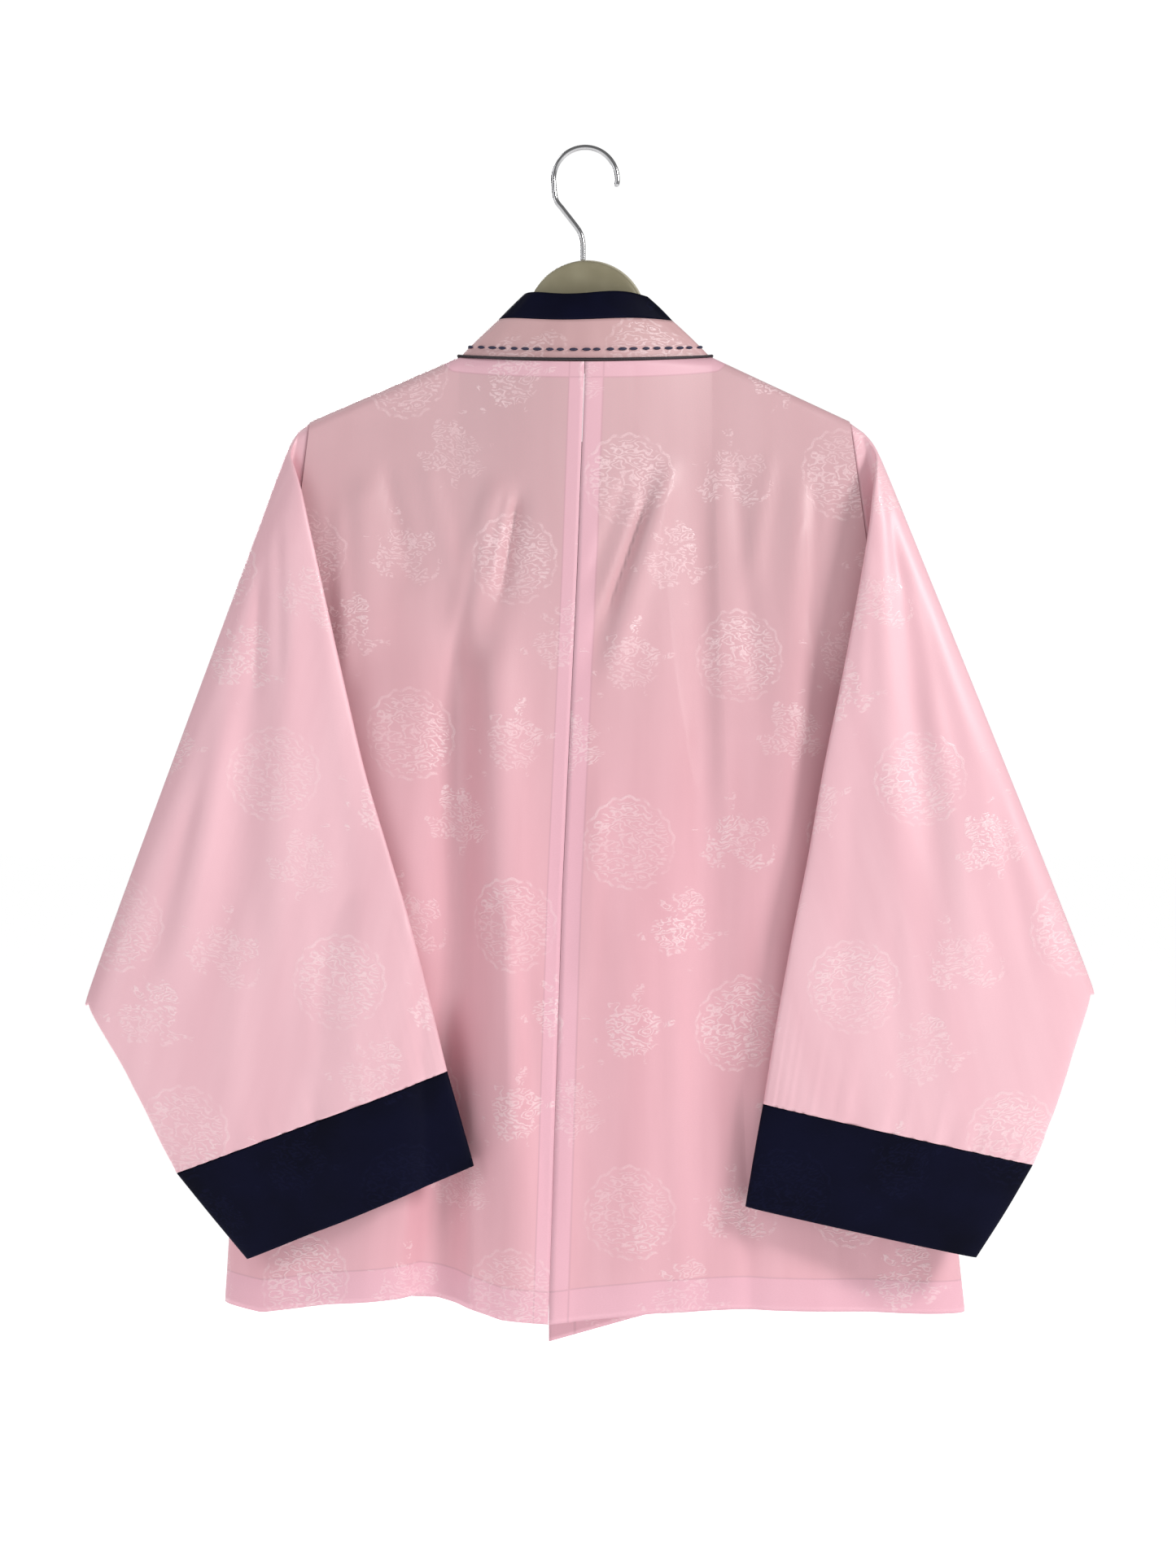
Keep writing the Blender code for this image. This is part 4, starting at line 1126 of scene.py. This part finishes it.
def hanger_top(x):
    """Upper edge: an arc over the hump, a slope inside the collar, then under the shoulder."""
    size = np.abs(x)
    arc = np.sqrt(np.maximum(HUMP_RADIUS ** 2 - size ** 2, 0.0))
    hump = HUMP_TOP_Z - HUMP_RADIUS + arc
    arm = COLLAR_TOP_Z + COLLAR_FALL * (size - COLLAR_TOP_HALF) - NECK_ARM_DROP
    inner = ridge_z(x) - CAD_CLOTH - HANGER_ROOM
    return np.where(size < HUMP_HALF_WIDTH, hump, np.where(size > NECK_HALF_WIDTH, inner, arm))


def hanger_low(x):
    return HANGER_LOW_Z - HANGER_LOW_FALL * (np.abs(x) / HANGER_TIP) ** 1.15


def hanger_section(x, sides, grow=0.0):
    """A flat oval at each x. Its half depth is 3.8 mm in the neck and 6.6 mm in the arms."""
    top, low = hanger_top(x), hanger_low(x)
    wide = smooth((np.abs(x) - 0.097) / 0.006)
    arm_half = RIDGE_RADIUS - CAD_CLOTH - HANGER_ROOM
    depth = NECK_ARM_HALF + (arm_half - NECK_ARM_HALF) * wide
    ends = np.sqrt(np.clip(1.0 - (np.abs(x) / (HANGER_TIP + 0.0005)) ** 24, 0.0, 1.0))
    angle = 2.0 * math.pi * np.arange(sides) / sides
    up = np.sign(np.cos(angle)) * np.abs(np.cos(angle)) ** 0.75
    across = np.sign(np.sin(angle)) * np.abs(np.sin(angle)) ** 0.6
    middle, half = (top + low) / 2, (top - low) / 2 + grow
    z = middle[:, None] + half[:, None] * ends[:, None] * up[None, :]
    y = (depth * ends)[:, None] * across[None, :] + 0.0 * z
    return np.stack([np.broadcast_to(x[:, None], z.shape), y, z], axis=-1)


# %% Plastic
def moulded_plastic(name, colour, worn):
    """Grey plastic with a fine moulded grain, faint flow marks and scuffed, paler patches."""
    material, tree, shader = new_material(name)
    place = tree.nodes.new("ShaderNodeTexCoord").outputs["Object"]
    grain = noise(tree, place, 900.0, 3.0)
    flow = noise(tree, place, 22.0, 3.0)
    scuffs = band(tree, noise(tree, place, 130.0, 4.0, 0.7), 0.60, 0.72)
    tint = mix(tree, band(tree, flow, 0.35, 0.70), colour, worn)
    tint = mix(tree, calc(tree, "MULTIPLY", scuffs, 0.35), tint, worn)
    tree.links.new(tint, shader.inputs["Base Color"])
    tree.links.new(calc(tree, "ADD", 0.36, calc(tree, "MULTIPLY", scuffs, 0.22)),
                   shader.inputs["Roughness"])
    bump = tree.nodes.new("ShaderNodeBump")
    bump.inputs["Strength"].default_value = 0.25
    bump.inputs["Distance"].default_value = 0.00015
    tree.links.new(grain, bump.inputs["Height"])
    tree.links.new(bump.outputs[0], shader.inputs["Normal"])
    return material


hanger_plastic = moulded_plastic("hanger_plastic", (0.215, 0.193, 0.122, 1),
                                 (0.29, 0.265, 0.18, 1))
# A paler plastic for the second plate: a painted highlight along its edge.
lit_plate_plastic = moulded_plastic("lit_plate_plastic", (0.40, 0.37, 0.27, 1), (0.48, 0.45, 0.35, 1))

# %% Hanger plates
x_line = np.concatenate([
    -HANGER_TIP + 0.006 * np.linspace(0.0, 1.0, 9)[:-1] ** 2,
    np.linspace(-HANGER_TIP + 0.006, HANGER_TIP - 0.006, 241),
    HANGER_TIP - 0.006 * np.linspace(1.0, 0.0, 9)[1:] ** 2])
hanger_rings = hanger_section(x_line, 28)
hanger = add_solid("hanger_plate", hanger_rings, rod_faces(len(x_line), 28), hanger_plastic,
                   "hanger_body")

# The second plate is a thin arc behind the hump, seen as a paler line at its right: its
# paler plastic is a painted highlight along its edge.
arc_angle = np.radians(np.linspace(18.0, 162.0, 61))
plate_path = np.stack([0.0015 + 0.0430 * np.cos(arc_angle), 0.0046 + 0.0 * arc_angle,
                       HUMP_TOP_Z - HUMP_RADIUS + 0.0008 + 0.0430 * np.sin(arc_angle)], axis=-1)
plate = add_solid("hanger_second_plate", rod(plate_path, 0.0016, 12), rod_faces(61, 12),
                  lit_plate_plastic)
print("hanger from", hanger_rings.min(axis=(0, 1)).round(3), "to",
      hanger_rings.max(axis=(0, 1)).round(3))

# %% [markdown]
# ## The hook
# The hook is a chromed steel wire: a straight shank, a gentle bend and most of a circle. It is
# a rod along a path of a few drawn points and an arc, and it ends in a rounded tip.

# %% Chrome
chrome, chrome_tree, chrome_shader = new_material("hook_chrome")
chrome_place = chrome_tree.nodes.new("ShaderNodeTexCoord").outputs["Object"]
chrome_drawn = noise(chrome_tree, chrome_place, 260.0, 3.0)
chrome_wear = band(chrome_tree, noise(chrome_tree, chrome_place, 60.0, 4.0, 0.7), 0.52, 0.72)
chrome_tree.links.new(mix(chrome_tree, calc(chrome_tree, "MULTIPLY", chrome_wear, 0.5),
                          (0.46, 0.46, 0.47, 1), (0.30, 0.29, 0.28, 1)),
                      chrome_shader.inputs["Base Color"])
chrome_tree.links.new(calc(chrome_tree, "ADD", 0.16, calc(chrome_tree, "MULTIPLY", chrome_wear,
                                                          0.22)),
                      chrome_shader.inputs["Roughness"])
chrome_bump = chrome_tree.nodes.new("ShaderNodeBump")
chrome_bump.inputs["Strength"].default_value = 0.04
chrome_bump.inputs["Distance"].default_value = 0.0001
chrome_tree.links.new(chrome_drawn, chrome_bump.inputs["Height"])
chrome_tree.links.new(chrome_bump.outputs[0], chrome_shader.inputs["Normal"])
chrome_shader.inputs["Metallic"].default_value = 1.0

# %% Hook
WIRE = ((-1.8, -82.8), (-1.8, -76), (-2.0, -69), (-4.2, -61.5), (-9.5, -54), (-16.5, -45),
        (-22.2, -37.0))
WIRE_RADIUS, HOOK_RADIUS = 0.0020, 0.0240


def wire_path():
    """The drawn points, then the arc from 187 degrees down to -14, then a smooth curve
    through them all: the same cubic as the sleeves'."""
    drawn = np.array([(x * MM, 0.0, z * MM) for x, z in WIRE])
    angle = np.radians(np.linspace(187.0, -14.0, 20))
    centre = WIRE_RADIUS - HOOK_RADIUS
    bend = np.stack([HOOK_RADIUS * np.cos(angle), 0.0 * angle,
                     centre + HOOK_RADIUS * np.sin(angle)], axis=-1)
    return through(np.concatenate([drawn, bend]), 260)


hook_path = wire_path()
hook_run = run_length(hook_path[:, None], 0)[:, 0]
to_tip = np.clip((hook_run[-1] - hook_run) / WIRE_RADIUS, 0.0, 1.0)
keep = to_tip >= 1.0
tip_from = hook_path[keep][-1]
tip_share = np.linspace(0.0, 1.0, 9)[1:]
tip_path = tip_from + (hook_path[-1] - tip_from) * tip_share[:, None]
hook_rings_path = np.concatenate([hook_path[keep], tip_path])
hook_radius = np.concatenate([np.full(int(keep.sum()), WIRE_RADIUS),
                              WIRE_RADIUS * np.sqrt(np.clip(1.0 - tip_share ** 2, 0.01, 1.0))])
hook = add_solid("hook_wire", rod(hook_rings_path, hook_radius, 20),
                 rod_faces(len(hook_rings_path), 20), chrome, "hanger_hook")
print("hook wire length in mm:", round(float(hook_run[-1]) / MM))

# %% [markdown]
# ## Floor and light
# The jacket hangs in front of a white background, over a pale floor. The floor glows a little,
# as a lit studio floor does, so that it meets the white surroundings without a line. One soft
# light comes from the right at a low angle, which draws the folds, and a weaker one from the
# left opens the shadows.

# %% Floor
FLOOR_Z, FLOOR_HALF = -1.30, 30.0
floor_line = np.linspace(-FLOOR_HALF, FLOOR_HALF, 9)
floor_points = np.stack(np.meshgrid(floor_line, floor_line), axis=-1)
floor_points = np.concatenate([floor_points, np.full((9, 9, 1), FLOOR_Z)], axis=-1)
floor_mesh = cloth_mesh("floor", floor_points, floor_points[..., :2] / FLOOR_HALF, {})
floor = bpy.data.objects.new("floor", floor_mesh)
bpy.context.scene.collection.objects.link(floor)
pale, pale_tree, pale_shader = new_material("pale_floor")
pale_place = pale_tree.nodes.new("ShaderNodeTexCoord").outputs["Object"]
pale_tree.links.new(mix(pale_tree, noise(pale_tree, pale_place, 3.0), (0.86, 0.86, 0.86, 1),
                        (0.88, 0.88, 0.88, 1)), pale_shader.inputs["Base Color"])
pale_shader.inputs["Roughness"].default_value = 0.9
pale_shader.inputs["Emission Color"].default_value = (1.0, 1.0, 1.0, 1.0)
pale_shader.inputs["Emission Strength"].default_value = 0.78
floor_mesh.materials.append(pale)


# %% Light
def area_light(name, place, target, size, power, colour):
    """A square soft light at a place, facing a target."""
    data = bpy.data.lights.new(name, "AREA")
    data.shape = "RECTANGLE"
    data.size, data.size_y = size
    data.energy = power
    data.color = colour
    light = bpy.data.objects.new(name, data)
    ahead = np.array(target) - np.array(place)
    turn_up = math.atan2(math.hypot(ahead[0], ahead[1]), -ahead[2])
    light.location = place
    light.rotation_euler = (turn_up, 0.0, math.atan2(-ahead[0], ahead[1]))
    bpy.context.scene.collection.objects.link(light)
    return light


MIDDLE = (0.0, 0.0, -0.45)
area_light("key", (2.1, -1.25, 0.75), MIDDLE, (0.6, 0.6), 47.0, (1.0, 0.985, 0.97))
area_light("fill", (-1.7, -1.9, 0.4), MIDDLE, (1.2, 1.6), 12.0, (0.98, 0.985, 1.0))
area_light("rim", (-1.1, 0.3, 0.9), (-0.1, 0.0, -0.4), (0.8, 0.8), 5.0, (1.0, 1.0, 1.0))
area_light("front", (-0.8, 2.2, 0.6), MIDDLE, (1.0, 1.0), 30.0, (1.0, 1.0, 1.0))

# The surroundings look pure white, and light the jacket with a quarter of that.
world = bpy.data.worlds.new("studio")
bpy.context.scene.world = world
world.use_nodes = True
sky = world.node_tree
light_path = sky.nodes.new("ShaderNodeLightPath").outputs["Is Camera Ray"]
sky.nodes["Background"].inputs["Color"].default_value = (1.0, 1.0, 1.0, 1.0)
sky.links.new(calc(sky, "ADD", 0.25, calc(sky, "MULTIPLY", light_path, 0.78)),
              sky.nodes["Background"].inputs["Strength"])
bpy.context.scene.view_settings.view_transform = "Standard"
